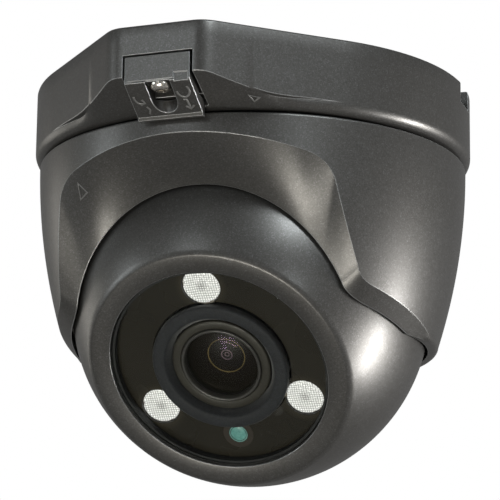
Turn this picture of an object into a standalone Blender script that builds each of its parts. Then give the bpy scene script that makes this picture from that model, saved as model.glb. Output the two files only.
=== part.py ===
"""Eyeball dome camera for a ceiling: base, turning cover, ball with its lens, boards and infrared lights.

Origin: centre of the ceiling face. +Z up into the ceiling, front towards -Y. Lengths in metres.
"""

import math

import bmesh
import bpy
from mathutils import Matrix, Vector

MM = 0.001
GAP = 0.3 * MM

# Base: a round housing with one flat-fronted lobe
BASE_RADIUS = 56.5 * MM
BASE_BOTTOM = -18.9 * MM
BASE_WALL = 2.0 * MM
BASE_PLATE = 2.6 * MM
BASE_EDGE = 2.8 * MM
LOBE_REACH = 66.9 * MM
LOBE_ANGLE = math.radians(43.8)
LOBE_EDGE_Z = -13.2 * MM
LOBE_SLOPE = 0.496
LEDGE_RADIUS = 50.8 * MM
SCREW_HOLE_CIRCLE = 38 * MM
CABLE_HOLE_Y = 27 * MM
CABLE_HOLE_RADIUS = 9 * MM
CABLE_NOTCH_ANGLE = math.radians(94)

# Lock block in the lobe's notch
BLOCK_WIDTH = 16.8 * MM
LOCK_SCREW_Y = -63.3 * MM
LOCK_HEAD_TOP = -14.4 * MM

# Cover: tapered barrel round the ball, with an arch opening at the front
COVER_RADIUS = 55.25 * MM
COVER_TOP = -19.6 * MM
COVER_ORIGIN = -19.1 * MM
COVER_CURVE = 149.35 * MM
COVER_DEPTH = 48 * MM
COVER_WALL = 2.6 * MM
NECK_RADIUS = 50.5 * MM
NECK_TOP = -11.4 * MM

# Ball
BALL_RADIUS = 45.9 * MM
BALL_CENTRE_Z = -55.3 * MM
SOCKET_RADIUS = 46.8 * MM
SHELL_THICKNESS = 2.5 * MM
LENS_TILT = math.radians(42.7)
RING_RADIUS = 33.35 * MM
RING_DEPTH = math.sqrt(BALL_RADIUS ** 2 - RING_RADIUS ** 2)
WINDOW_RADIUS = 28.1 * MM
LEDGE_DEPTH = 26.4 * MM
REAR_DEPTH = -22 * MM
REAR_FLAT = -43 * MM
NECK_BACK = -44 * MM
LED_CIRCLE = 22.2 * MM
LED_ANGLES = [math.radians(a) for a in (90, -30, -150)]
PANEL_FRONT = 28 * MM
BRACKET_DEPTH = -5.5 * MM
BOARD_SIZE = 36 * MM


def clear_scene():
    for obj in list(bpy.data.objects):
        bpy.data.objects.remove(obj, do_unlink=True)


clear_scene()
parts = bpy.data.collections.new("dome_camera")
cutters = bpy.data.collections.new("cutters")
cutters.hide_render = True
bpy.context.scene.collection.children.link(parts)
bpy.context.scene.collection.children.link(cutters)


def material(name, colour, roughness, metallic=0.0):
    made = bpy.data.materials.new(name)
    made.use_nodes = True
    shader = made.node_tree.nodes["Principled BSDF"]
    shader.inputs["Base Color"].default_value = (*colour, 1)
    shader.inputs["Roughness"].default_value = roughness
    shader.inputs["Metallic"].default_value = metallic
    return made


GRAPHITE = material("graphite_paint", (0.075, 0.078, 0.08), 0.42, 0.6)
BLACK = material("black_plastic", (0.02, 0.02, 0.02), 0.5)
NYLON = material("natural_nylon", (0.75, 0.73, 0.68), 0.5)
RUBBER = material("black_rubber", (0.015, 0.017, 0.02), 0.8)
STEEL = material("stainless_steel", (0.62, 0.6, 0.57), 0.25, 1.0)
ALUMINIUM = material("aluminium", (0.7, 0.7, 0.71), 0.35, 1.0)
BOARD = material("board_green", (0.02, 0.09, 0.04), 0.45)
BOARD_BLACK = material("board_black", (0.015, 0.015, 0.015), 0.45)
LENS_BLACK = material("lens_black", (0.035, 0.033, 0.028), 0.45, 0.3)
GLASS = material("clear_glass", (0.9, 0.95, 0.95), 0.02)
SMOKED = material("smoked_panel", (0.03, 0.026, 0.02), 0.2)
CLEAR = material("clear_acrylic", (0.9, 0.9, 0.88), 0.15)
LED_YELLOW = material("led_body", (0.8, 0.7, 0.35), 0.4)
TEAL = material("sensor_teal", (0.1, 0.45, 0.42), 0.3)
FILTER = material("filter_glass", (0.35, 0.6, 0.65), 0.05)

lens_axis = bpy.data.objects.new("lens_axis", None)
lens_axis.location = (0, 0, BALL_CENTRE_Z)
lens_axis.rotation_euler = (math.pi / 2 + LENS_TILT, 0, 0)
parts.objects.link(lens_axis)


def finish(obj, name, finish_material, parent=None, collection=parts):
    obj.name = name
    if obj.data is not None:
        obj.data.materials.clear()
        obj.data.materials.append(finish_material)
    for old in list(obj.users_collection):
        old.objects.unlink(obj)
    collection.objects.link(obj)
    if parent is not None:
        obj.parent = parent
    if collection is cutters:
        obj.hide_render = True
        obj.display_type = "WIRE"
    elif obj.type == "MESH":
        obj.data.shade_smooth()
        obj.data.set_sharp_from_angle(angle=math.radians(35))
    return obj


def from_bmesh(shape, name, finish_material, parent=None, collection=parts):
    bmesh.ops.recalc_face_normals(shape, faces=shape.faces[:])
    mesh = bpy.data.meshes.new(name)
    shape.to_mesh(mesh)
    shape.free()
    return finish(bpy.data.objects.new(name, mesh), name, finish_material, parent, collection)


def turned(name, profile, finish_material, steps=32, parent=None, collection=parts):
    """A solid of revolution about local Z. The profile is a closed loop of (radius, height)."""
    shape = bmesh.new()
    rings = []
    for radius, height in profile:
        if radius < 1e-7:
            rings.append([shape.verts.new((0, 0, height))])
            continue
        turns = [2 * math.pi * i / steps for i in range(steps)]
        rings.append([shape.verts.new((radius * math.cos(t), radius * math.sin(t), height)) for t in turns])
    for ring, after in zip(rings, rings[1:] + rings[:1]):
        for i in range(steps):
            j = (i + 1) % steps
            corners = [ring[i % len(ring)], ring[j % len(ring)], after[j % len(after)], after[i % len(after)]]
            corners = list(dict.fromkeys(corners))
            if len(corners) > 2:
                shape.faces.new(corners)
    return from_bmesh(shape, name, finish_material, parent, collection)


def rod(name, radius, low, high, finish_material, place=(0, 0), steps=24, parent=None, collection=parts):
    """A cylinder along local Z between two heights."""
    shape = bmesh.new()
    middle = Matrix.Translation((place[0], place[1], (low + high) / 2))
    bmesh.ops.create_cone(
        shape, cap_ends=True, segments=steps, radius1=radius, radius2=radius, depth=high - low, matrix=middle
    )
    return from_bmesh(shape, name, finish_material, parent, collection)


def block(name, low, high, finish_material, parent=None, collection=parts, bevel=0.0):
    """A box between two corners."""
    shape = bmesh.new()
    low, high = Vector(low), Vector(high)
    size = high - low
    place = Matrix.Translation((low + high) / 2) @ Matrix.Diagonal((*size, 1))
    bmesh.ops.create_cube(shape, size=1, matrix=place)
    obj = from_bmesh(shape, name, finish_material, parent, collection)
    if bevel:
        edge = obj.modifiers.new("edges", "BEVEL")
        edge.width = bevel
        edge.segments = 1
    return obj


def prism(name, outline, x_low, x_high, finish_material, parent=None, collection=parts):
    """An outline in (y, z), extruded along X."""
    shape = bmesh.new()
    near = [shape.verts.new((x_low, y, z)) for y, z in outline]
    far = [shape.verts.new((x_high, y, z)) for y, z in outline]
    shape.faces.new(near)
    shape.faces.new(far)
    for i in range(len(outline)):
        j = (i + 1) % len(outline)
        shape.faces.new([near[i], near[j], far[j], far[i]])
    return from_bmesh(shape, name, finish_material, parent, collection)


def sector(name, inner, outer, low, high, start, end, finish_material, steps=8, collection=parts):
    """A curved block between two radii, two heights and two angles from the front towards +X."""
    shape = bmesh.new()
    slices = []
    for i in range(steps + 1):
        turn = start + (end - start) * i / steps
        across, ahead = math.sin(turn), -math.cos(turn)
        ring = [(inner, low), (outer, low), (outer, high), (inner, high)]
        slices.append([shape.verts.new((r * across, r * ahead, z)) for r, z in ring])
    for here, there in zip(slices, slices[1:]):
        for i in range(4):
            j = (i + 1) % 4
            shape.faces.new([here[i], here[j], there[j], there[i]])
    shape.faces.new(slices[0])
    shape.faces.new(slices[-1])
    return from_bmesh(shape, name, finish_material, None, collection)


def boolean(obj, other, operation="DIFFERENCE", solver="EXACT"):
    step = obj.modifiers.new(other.name, "BOOLEAN")
    step.operation = operation
    step.solver = solver
    step.object = other


def arc_points(centre, radius, start, end, count):
    """Points on a circle in (radius, height), angles in degrees from +radius towards +height."""
    turns = [math.radians(start + (end - start) * i / count) for i in range(count + 1)]
    return [(centre[0] + radius * math.cos(t), centre[1] + radius * math.sin(t)) for t in turns]


def sphere_profile(radius, high, low, count):
    """Points down a sphere about the local origin, between two heights."""
    start, end = math.degrees(math.asin(high / radius)), math.degrees(math.asin(low / radius))
    return arc_points((0, 0), radius, start, end, count)


# ---------------------------------------------------------------- base


def soft_min(a, b, width):
    blend = max(width - abs(a - b), 0) / width
    return min(a, b) - blend * blend * width / 4


def base_outline(turn):
    """The base's radius at an angle from the front: a circle, two flanks tangent to it, and a flat front."""
    turn = abs(turn)
    if turn > LOBE_ANGLE:
        return BASE_RADIUS
    flank = BASE_RADIUS / math.cos(LOBE_ANGLE - turn)
    front = LOBE_REACH / math.cos(turn)
    return soft_min(flank, front, 2.2 * MM)


def base_column(turn):
    """The base's section at one angle, as (radius, height), from the plate's top round to the cavity."""
    radius = base_outline(turn)
    weight = min(max((radius - BASE_RADIUS) / (6 * MM), 0), 1)
    weight = weight * weight * (3 - 2 * weight)
    edge_z = LOBE_EDGE_Z - LOBE_SLOPE * (LOBE_REACH - radius)
    foot = radius - (edge_z - BASE_BOTTOM) / LOBE_SLOPE
    column = [(radius - 0.6 * MM, 0), (radius, -0.6 * MM)]
    for i in range(6):
        share = i / 5
        angle = share * math.pi / 2
        round_r = BASE_RADIUS - BASE_EDGE * (1 - math.cos(angle))
        round_z = BASE_BOTTOM + BASE_EDGE * (1 - math.sin(angle))
        slope_r = radius + (foot - radius) * share
        slope_z = edge_z + (BASE_BOTTOM - edge_z) * share
        column.append((round_r + (slope_r - round_r) * weight, round_z + (slope_z - round_z) * weight))
    cavity = BASE_RADIUS - BASE_WALL
    column += [(LEDGE_RADIUS, BASE_BOTTOM), (LEDGE_RADIUS, BASE_BOTTOM + 1.7 * MM)]
    column += [(cavity, BASE_BOTTOM + 1.7 * MM), (cavity, -BASE_PLATE)]
    return column


def base_turns():
    """Angles round the base, closer together on the lobe."""
    lobe_steps, round_steps = 30, 32
    lobe_half = math.radians(48)
    turns = [-lobe_half + 2 * lobe_half * i / lobe_steps for i in range(lobe_steps)]
    rest = 2 * (math.pi - lobe_half)
    return turns + [lobe_half + rest * i / round_steps for i in range(round_steps)]


def build_base():
    shape = bmesh.new()
    columns = []
    for turn in base_turns():
        signed = (turn + math.pi) % (2 * math.pi) - math.pi
        column = base_column(signed)
        columns.append([shape.verts.new((r * math.sin(turn), -r * math.cos(turn), z)) for r, z in column])
    for here, there in zip(columns, columns[1:] + columns[:1]):
        for i in range(len(here) - 1):
            shape.faces.new([here[i], here[i + 1], there[i + 1], there[i]])
    shape.faces.new([column[0] for column in columns])
    shape.faces.new([column[-1] for column in columns])
    base = from_bmesh(shape, "base_housing", GRAPHITE)

    notch = [(-72, -7.4), (-59.5, -7.4), (-59.5, -16.4), (-55.9, -16.4), (-55.9, -25), (-72, -25)]
    notch = [(y * MM, z * MM) for y, z in notch]
    left, right = -BLOCK_WIDTH / 2 - 0.4 * MM, BLOCK_WIDTH / 2 + 0.9 * MM
    boolean(base, prism("notch_cutter", notch, left, right, BLACK, None, cutters))
    thread = rod("lock_thread", 1.8 * MM, -9 * MM, -3.4 * MM, BLACK, (0, LOCK_SCREW_Y), 16, None, cutters)
    boolean(base, thread)
    hole = rod("cable_hole", CABLE_HOLE_RADIUS, -6 * MM, 2 * MM, BLACK, (0, CABLE_HOLE_Y), 32, None, cutters)
    boolean(base, hole)
    for i, turn in enumerate((0, 120, 240)):
        x = SCREW_HOLE_CIRCLE * math.sin(math.radians(turn))
        y = -SCREW_HOLE_CIRCLE * math.cos(math.radians(turn))
        hole = rod(f"ceiling_screw_hole_{i + 1}", 2.25 * MM, -6 * MM, 2 * MM, BLACK, (x, y), 16, None, cutters)
        boolean(base, hole)

    half, near, far = 4.5 * MM, BASE_RADIUS - 6 * MM, BASE_RADIUS + 4 * MM
    side = rod("cable_notch", half, near, far, BLACK, (0, 0), 24, None, cutters)
    ceiling_way = block("cable_notch_top", (-half, -1 * MM, near), (half, 5 * MM, far), BLACK, None, cutters)
    boolean(side, ceiling_way, "UNION")
    place = Matrix.Rotation(CABLE_NOTCH_ANGLE - math.pi, 4, "Z") @ Matrix.Rotation(-math.pi / 2, 4, "X")
    place = Matrix.Translation((0, 0, -0.5 * MM)) @ place
    side.matrix_world = place
    ceiling_way.matrix_world = place
    boolean(base, side)


def build_grommet():
    r = CABLE_HOLE_RADIUS
    profile = [(r - 2 * MM, -0.4 * MM), (r - GAP, -0.4 * MM), (r - GAP, -BASE_PLATE - GAP)]
    profile += [(r + 1.6 * MM, -BASE_PLATE - GAP), (r + 1.6 * MM, -BASE_PLATE - 1.5 * MM)]
    profile += [(r - 2 * MM, -BASE_PLATE - 1.5 * MM)]
    turned("cable_grommet", profile, RUBBER).location = (0, CABLE_HOLE_Y, 0)


def build_lock():
    outline = [(-66.5, -7.8), (-66.5, -14.5), (-57.5, -20.3), (-57.2, -21.1), (-56.2, -21.1), (-56.2, -16.8)]
    outline += [(-59.8, -16.8), (-59.8, -7.8)]
    outline = [(y * MM, z * MM) for y, z in outline]
    lock = prism("lock_block", outline, -BLOCK_WIDTH / 2, BLOCK_WIDTH / 2, GRAPHITE)
    half, centre, ceiling = 3.2 * MM, -61.3 * MM, -14.3 * MM
    pocket = rod("pocket_end", half, -25 * MM, ceiling, BLACK, (0, centre), 32, None, cutters)
    way = block("pocket_way", (-half, -68 * MM, -25 * MM), (half, centre, ceiling), BLACK, None, cutters)
    boolean(pocket, way, "UNION")
    boolean(lock, pocket)
    shank = rod("shank_hole", 1.8 * MM, -16 * MM, -6 * MM, BLACK, (0, LOCK_SCREW_Y), 16, None, cutters)
    boolean(lock, shank)

    head = [(0, 1.65), (1.5, 1.65), (2.3, 1.2), (2.8, 0.3), (2.8, 0), (1.45, 0), (1.45, -10.2), (0, -10.2)]
    profile = [(r * MM, LOCK_HEAD_TOP - z * MM) for r, z in head]
    screw = turned("lock_screw", profile[::-1], STEEL, 24)
    screw.location = (0, LOCK_SCREW_Y, 0)
    low, high = LOCK_HEAD_TOP - 3 * MM, LOCK_HEAD_TOP - 0.7 * MM
    socket = rod("lock_screw_socket", 1.0 * MM, low, high, BLACK, (0, LOCK_SCREW_Y), 6, None, cutters)
    boolean(screw, socket)


# ---------------------------------------------------------------- cover


def cover_radius(drop):
    """The cover's outer radius at a drop below the seam."""
    return COVER_RADIUS - drop * drop / (2 * COVER_CURVE)


# The arch opening is ruled between two curves given as (angle from the front, drop below the seam):
# a sharp ridge on the cover's outer face and an edge on the socket sphere.
ARCH_TOP_DROP = 4.95 * MM
ARCH_TOP_CURVE = 103 * MM
ARCH_TOP_HALF = 30.5 * MM
ARCH_CORNER = 8.5 * MM
ARCH_SPLAY = math.radians(9)
ARCH_SIDE_END = 35.5 * MM
FLARE_START = math.radians(57)
FLARE_END = math.radians(97)
FLARE_SLOPE = 0.265
RIDGE_FLARE_DROP = 47.04 * MM
INNER_FLARE_DROP = 50.4 * MM
INNER_CIRCLE = 36.9 * MM
INNER_CIRCLE_DROP = 51.3 * MM
RIM_EDGE = 1.4 * MM
TOP_DROP = 1.0 * MM
LIP_TOP_DROP = 12.5 * MM
LIP_WALL_DROP = 4.4 * MM
LINER_TOP_DROP = 30 * MM
LIP_TURNS = (math.radians(75), math.radians(100))
TOP_STEPS, CORNER_STEPS, SIDE_STEPS, BEND_STEPS, FLARE_STEPS, BACK_STEPS = 6, 4, 3, 4, 5, 18
OUTER_ROWS, SOCKET_ROWS = 4, 3


def turn_of(x, radius):
    return math.asin(min(x / radius, 1))


def flare_drop(turn, base_drop, radius_of):
    """The drop where a plane that rises towards the front meets a surface, found by repetition."""
    drop = base_drop - 6 * MM
    for _ in range(30):
        drop = base_drop - FLARE_SLOPE * radius_of(drop) * math.cos(turn)
    return drop


def socket_radius_at(drop):
    return math.sqrt(SOCKET_RADIUS ** 2 - (COVER_ORIGIN - drop - BALL_CENTRE_Z) ** 2)


def bend(first, control, last, count):
    """A quadratic curve between two (angle, drop) points, without its first point."""
    made = []
    for i in range(1, count + 1):
        t = i / count
        weights = ((1 - t) ** 2, 2 * t * (1 - t), t * t)
        made.append(tuple(sum(w * p[k] for w, p in zip(weights, (first, control, last))) for k in (0, 1)))
    return made


def ridge_curve():
    """Half the ridge, from the middle of the arch to beside the ball, as (angle, drop)."""
    front = []
    for i in range(TOP_STEPS + 1):
        x = ARCH_TOP_HALF * i / TOP_STEPS
        front.append((x, ARCH_TOP_DROP + x * x / (2 * ARCH_TOP_CURVE)))
    start = ARCH_TOP_HALF / ARCH_TOP_CURVE
    end = math.pi / 2 - ARCH_SPLAY
    centre = (front[-1][0] - ARCH_CORNER * math.sin(start), front[-1][1] + ARCH_CORNER * math.cos(start))
    for i in range(1, CORNER_STEPS + 1):
        angle = start + (end - start) * i / CORNER_STEPS
        front.append((centre[0] + ARCH_CORNER * math.sin(angle), centre[1] - ARCH_CORNER * math.cos(angle)))
    x, drop = front[-1]
    for i in range(1, SIDE_STEPS + 1):
        down = (ARCH_SIDE_END - drop) * i / SIDE_STEPS
        front.append((x + down * math.tan(ARCH_SPLAY), drop + down))
    curve = [(turn_of(x, cover_radius(drop)), drop) for x, drop in front]
    control = (curve[-1][0] + math.radians(0.8), ARCH_SIDE_END + 3.2 * MM)
    return curve + flare(curve[-1], control, RIDGE_FLARE_DROP, cover_radius)


def inner_curve():
    """Half the edge round the ball, point for point with the ridge, as (angle, drop)."""
    curve = []
    marks = [math.radians(a) for a in (0, 46, 58, 70)]
    for (start, end), count in zip(zip(marks, marks[1:]), (TOP_STEPS, CORNER_STEPS, SIDE_STEPS)):
        for i in range(0 if not curve else 1, count + 1):
            angle = start + (end - start) * i / count
            x, drop = INNER_CIRCLE * math.sin(angle), INNER_CIRCLE_DROP - INNER_CIRCLE * math.cos(angle)
            curve.append((turn_of(x, socket_radius_at(drop)), drop))
    control = (curve[-1][0] + math.radians(1.6), curve[-1][1] + 3.4 * MM)
    return curve + flare(curve[-1], control, INNER_FLARE_DROP, socket_radius_at)


def flare(first, control, base_drop, radius_of):
    """The run from the foot of the arch round the side: a bend, then the line of the sloping plane."""
    run = bend(first, control, (FLARE_START, flare_drop(FLARE_START, base_drop, radius_of)), BEND_STEPS)
    for i in range(1, FLARE_STEPS + 1):
        turn = FLARE_START + (FLARE_END - FLARE_START) * i / FLARE_STEPS
        run.append((turn, flare_drop(turn, base_drop, radius_of)))
    return run


def round_point(turn, radius, drop):
    return Vector((radius * math.sin(turn), -radius * math.cos(turn), COVER_ORIGIN - drop))


def smooth(share):
    share = min(max(share, 0), 1)
    return share * share * (3 - 2 * share)


def cover_column(ridge, inner, top_turn, inner_top_turn):
    """One column of the cover: neck, outer face, bevel or rim, socket, inside wall."""
    neck_inside = NECK_RADIUS - 1.6 * MM
    neck_drop = COVER_ORIGIN - NECK_TOP
    wall_top = 2.6 * MM
    column = [(top_turn, neck_inside, neck_drop), (top_turn, NECK_RADIUS, neck_drop)]
    column += [(top_turn, NECK_RADIUS, COVER_ORIGIN - COVER_TOP)]
    column += [(top_turn, COVER_RADIUS - 0.5 * MM, COVER_ORIGIN - COVER_TOP)]
    column = [round_point(*place) for place in column]

    rim_drop = COVER_DEPTH - RIM_EDGE
    ridge_turn, ridge_drop = ridge[0], min(ridge[1], rim_drop)
    for i in range(OUTER_ROWS + 1):
        share = i / OUTER_ROWS
        drop = TOP_DROP + (ridge_drop - TOP_DROP) * share
        column.append(round_point(top_turn + (ridge_turn - top_turn) * share, cover_radius(drop), drop))

    inner_turn, inner_drop = inner
    if ridge_drop < rim_drop:
        outside, inside = column[-1], round_point(inner_turn, socket_radius_at(inner_drop), inner_drop)
        to_rim = (COVER_DEPTH - ridge_drop) / (inner_drop - ridge_drop)
        column += [outside.lerp(inside, 0.06), outside.lerp(inside, min(to_rim, 0.93))]
    else:
        radius = cover_radius(rim_drop)
        column.append(round_point(ridge_turn, radius - 0.45 * MM, COVER_DEPTH - 0.4 * MM))
        column.append(round_point(ridge_turn, radius - RIM_EDGE, COVER_DEPTH))

    inner_drop = min(inner_drop, COVER_DEPTH)
    low, high = LIP_TURNS
    lip = smooth((inner_top_turn - low) / (high - low))
    liner_drop = LIP_TOP_DROP + (LINER_TOP_DROP - LIP_TOP_DROP) * lip
    wall_drop = LIP_WALL_DROP + (LINER_TOP_DROP - LIP_WALL_DROP) * lip
    for i in range(SOCKET_ROWS + 1):
        share = i / SOCKET_ROWS
        drop = inner_drop + (liner_drop - inner_drop) * share
        turn = inner_turn + (inner_top_turn - inner_turn) * share
        column.append(round_point(turn, socket_radius_at(drop), drop))
    column.append(round_point(top_turn, cover_radius(wall_drop) - COVER_WALL, wall_drop))
    column.append(round_point(top_turn, cover_radius(wall_top) - COVER_WALL, wall_top))
    column.append(round_point(top_turn, neck_inside, wall_top))
    return column


def cover_columns():
    ridge, inner = ridge_curve(), inner_curve()
    last = len(ridge) - 1
    right = []
    for i in range(last + 1):
        even = FLARE_END * i / last
        right.append(cover_column(ridge[i], inner[i], (ridge[i][0] + even) / 2, (inner[i][0] + even) / 2))
    left = [[Vector((-p.x, p.y, p.z)) for p in column] for column in right[:0:-1]]
    back = []
    for i in range(1, BACK_STEPS):
        turn = FLARE_END + 2 * (math.pi - FLARE_END) * i / BACK_STEPS
        rear = min(turn, 2 * math.pi - turn)
        column = cover_column((rear, COVER_DEPTH), (rear, COVER_DEPTH), rear, rear)
        side = 1 if turn <= math.pi else -1
        back.append([Vector((side * p.x, p.y, p.z)) for p in column])
    return right + back + left


CLAMP_TURNS = [math.radians(a) for a in (60, 180, 300)]
CLAMP_CIRCLE = 44.6 * MM
CLAMP_TOP = -23.4 * MM
SEAT_DROPS = (37.0 * MM, 42.0 * MM)
SEAT_TURN = math.radians(72)


def build_cover():
    shape = bmesh.new()
    columns = [[shape.verts.new(p) for p in column] for column in cover_columns()]
    for here, there in zip(columns, columns[1:] + columns[:1]):
        for i in range(len(here)):
            j = (i + 1) % len(here)
            shape.faces.new([here[i], here[j], there[j], there[i]])
    cover = from_bmesh(shape, "dome_cover", GRAPHITE)
    for i, turn in enumerate(CLAMP_TURNS):
        lug = sector(
            f"bayonet_lug_{i + 1}", NECK_RADIUS - 0.6 * MM, 52.8 * MM, NECK_TOP - 2.1 * MM, NECK_TOP,
            turn - math.radians(12), turn + math.radians(12), BLACK, 6, cutters,
        )
        boolean(cover, lug, "UNION")
        x, y = CLAMP_CIRCLE * math.sin(turn), -CLAMP_CIRCLE * math.cos(turn)
        low, high = (-3.4 * MM, -1.9 * MM, -34 * MM), (3.4 * MM, 7.4 * MM, CLAMP_TOP - 1.9 * MM)
        boss = block(f"boss_{i + 1}", low, high, BLACK, None, cutters)
        boss.matrix_world = Matrix.Translation((x, y, 0)) @ Matrix.Rotation(turn - math.pi, 4, "Z")
        boolean(cover, boss, "UNION")
        thread = rod(f"boss_thread_{i + 1}", 1.2 * MM, -32 * MM, -20 * MM, BLACK, (x, y), 12, None, cutters)
        boolean(cover, thread)
    low, high = COVER_ORIGIN - SEAT_DROPS[1], COVER_ORIGIN - SEAT_DROPS[0]
    opening = SEAT_TURN - math.radians(2)
    groove = sector(
        "seat_groove", 40 * MM, 48.6 * MM, low, high, opening, 2 * math.pi - opening, BLACK, 30, cutters
    )
    boolean(cover, groove)


def build_seat():
    """The nylon seat: a C of plastic under the ball's equator, whose face follows the ball."""
    shape = bmesh.new()
    low, high = COVER_ORIGIN - SEAT_DROPS[1] + GAP, COVER_ORIGIN - SEAT_DROPS[0] - GAP
    steps = 30
    face = BALL_RADIUS + GAP
    levels = [low + (high - low) * i / 3 for i in range(4)]
    section = [(math.sqrt(face ** 2 - (z - BALL_CENTRE_Z) ** 2), z) for z in levels]
    section += [(48.3 * MM, high), (48.3 * MM, low)]
    slices = []
    for i in range(steps + 1):
        turn = SEAT_TURN + (2 * math.pi - 2 * SEAT_TURN) * i / steps
        slices.append([shape.verts.new((r * math.sin(turn), -r * math.cos(turn), z)) for r, z in section])
    for here, there in zip(slices, slices[1:]):
        for i in range(len(section)):
            j = (i + 1) % len(section)
            shape.faces.new([here[i], here[j], there[j], there[i]])
    shape.faces.new(slices[0])
    shape.faces.new(slices[-1])
    from_bmesh(shape, "ball_seat", NYLON)


def build_clamp():
    """The ring that holds the ball down from above, its rubber friction ring, and three screws."""
    top, bottom = CLAMP_TOP, CLAMP_TOP - 1.6 * MM
    lip = -29.5 * MM

    def on_ball(z, clear):
        return math.sqrt((BALL_RADIUS + clear) ** 2 - (z - BALL_CENTRE_Z) ** 2)

    profile = [(34.6 * MM, top), (48.4 * MM, top), (48.4 * MM, bottom), (42.3 * MM, bottom)]
    profile += [(on_ball(lip, 3.4 * MM), lip), (on_ball(lip, 1.6 * MM), lip)]
    profile += [(on_ball(-27.6 * MM, 1.6 * MM), -27.6 * MM), (on_ball(-25.6 * MM, 1.6 * MM), -25.6 * MM)]
    ring = turned("clamp_ring", profile, BLACK, 32)
    low, high = -28.6 * MM, -25.8 * MM
    profile = [(on_ball(high, 1.3 * MM), high), (on_ball(low, 1.3 * MM), low), (on_ball(low, GAP), low)]
    profile += [(on_ball(high, GAP), high)]
    turned("friction_ring", profile, RUBBER, 36)
    for i, turn in enumerate(CLAMP_TURNS):
        x, y = CLAMP_CIRCLE * math.sin(turn), -CLAMP_CIRCLE * math.cos(turn)
        low, high = bottom - 2 * MM, top + 1 * MM
        hole = rod(f"clamp_hole_{i + 1}", 1.5 * MM, low, high, BLACK, (x, y), 10, None, cutters)
        boolean(ring, hole, solver="MANIFOLD")
        head = [(0, 1.7), (1.6, 1.7), (2.3, 1.1), (2.3, 0.3), (0.9, 0.3), (0.9, -7.5), (0, -7.5)]
        screw = turned(f"clamp_screw_{i + 1}", [(r * MM, top + z * MM) for r, z in head], STEEL, 12)
        screw.location = (x, y, 0)


def build_bayonet_ring():
    """The turning ring that lies on the base's ledge. The cover's lugs pass its slots and then rest on it."""
    low, high = BASE_BOTTOM + 2.0 * MM, NECK_TOP - 2.4 * MM
    profile = [(50.9 * MM, high), (54.1 * MM, high), (54.1 * MM, low), (50.9 * MM, low)]
    ring = turned("bayonet_ring", profile, STEEL, 48)
    for i, turn in enumerate(CLAMP_TURNS):
        slot = sector(
            f"bayonet_slot_{i + 1}", 48 * MM, 53.1 * MM, low - 1 * MM, high + 1 * MM,
            turn + math.radians(38), turn + math.radians(66), BLACK, 6, cutters,
        )
        boolean(ring, slot)


# ---------------------------------------------------------------- ball


def build_shell():
    face = RING_DEPTH
    profile = [(WINDOW_RADIUS + 0.3 * MM, face), (RING_RADIUS - 0.35 * MM, face)]
    profile += sphere_profile(BALL_RADIUS, face - 0.3 * MM, REAR_DEPTH, 9)
    inside = BALL_RADIUS - SHELL_THICKNESS
    profile += [(r, z) for r, z in sphere_profile(inside, LEDGE_DEPTH - 1.6 * MM, REAR_DEPTH, 3)][::-1]
    profile += [(27.3 * MM, LEDGE_DEPTH - 1.6 * MM), (27.3 * MM, LEDGE_DEPTH), (WINDOW_RADIUS, LEDGE_DEPTH)]
    profile += [(WINDOW_RADIUS, face - 0.3 * MM)]
    turned("ball_shell", profile, GRAPHITE, 44, lens_axis)


POST_CIRCLE = 31.4 * MM
CAP_POST_CIRCLE = 31.2 * MM
POST_TURNS = [math.radians(a) for a in (30, 150, 270)]
CAP_INSIDE = 40.4 * MM
CAP_FLOOR = REAR_FLAT + 4.5 * MM


def build_rear_cap():
    """The back of the ball: a spigot inside the shell, a flat, and a short neck for the gland."""
    joint = REAR_DEPTH - GAP
    neck = 7 * MM
    profile = [(34.2 * MM, -16 * MM), (36.0 * MM, -16 * MM), (36.0 * MM, joint)]
    profile += sphere_profile(BALL_RADIUS, joint, REAR_FLAT, 4)
    profile += [(neck, REAR_FLAT), (neck, NECK_BACK), (4.0 * MM, NECK_BACK), (4.0 * MM, CAP_FLOOR)]
    profile += sphere_profile(CAP_INSIDE, -21.5 * MM, CAP_FLOOR, 4)[::-1]
    cap = turned("ball_rear_cap", profile, GRAPHITE, 32, lens_axis)
    seal = [(36.3 * MM, -18.6 * MM), (37.6 * MM, -18.6 * MM), (37.6 * MM, -21.2 * MM), (36.3 * MM, -21.2 * MM)]
    turned("cap_seal", seal, RUBBER, 32, lens_axis)
    head = [(0, -16.5), (1.0, -16.5), (1.0, -29.2), (2.1, -29.2), (2.1, -30.1), (1.5, -30.7), (0, -30.7)]
    head = [(r * MM, z * MM) for r, z in head]
    post = [(1.3, -5.8), (2.5, -5.8), (2.5, -21.2), (1.3, -21.2)]
    post = [(r * MM, z * MM) for r, z in post]
    for i, turn in enumerate(POST_TURNS):
        place = (CAP_POST_CIRCLE * math.cos(turn), CAP_POST_CIRCLE * math.sin(turn))
        low, floor, high = -45 * MM, -28.9 * MM, -20 * MM
        well = rod(f"cap_screw_well_{i + 1}", 2.6 * MM, low, floor, BLACK, place, 14, lens_axis, cutters)
        hole = rod(f"cap_screw_hole_{i + 1}", 1.3 * MM, low, high, BLACK, place, 10, lens_axis, cutters)
        boolean(cap, well)
        boolean(cap, hole)
        turned(f"cap_screw_{i + 1}", head, STEEL, 12, lens_axis).location = (*place, 0)
        turned(f"cap_post_{i + 1}", post, ALUMINIUM, 12, lens_axis).location = (*place, 0)


def build_gland():
    back = NECK_BACK - GAP
    profile = [(1.6 * MM, -38 * MM), (3.7 * MM, -38 * MM), (3.7 * MM, back), (5 * MM, back)]
    profile += [(4.6 * MM, back - 1.1 * MM), (1.6 * MM, back - 1.1 * MM)]
    turned("cable_gland", profile, RUBBER, 24, lens_axis)
    high, low = REAR_FLAT - GAP, REAR_FLAT - 1.6 * MM
    collar = [(7.3 * MM, high), (9.4 * MM, high), (9.4 * MM, low), (7.3 * MM, low)]
    turned("lead_guide", collar, NYLON, 32, lens_axis)


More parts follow.
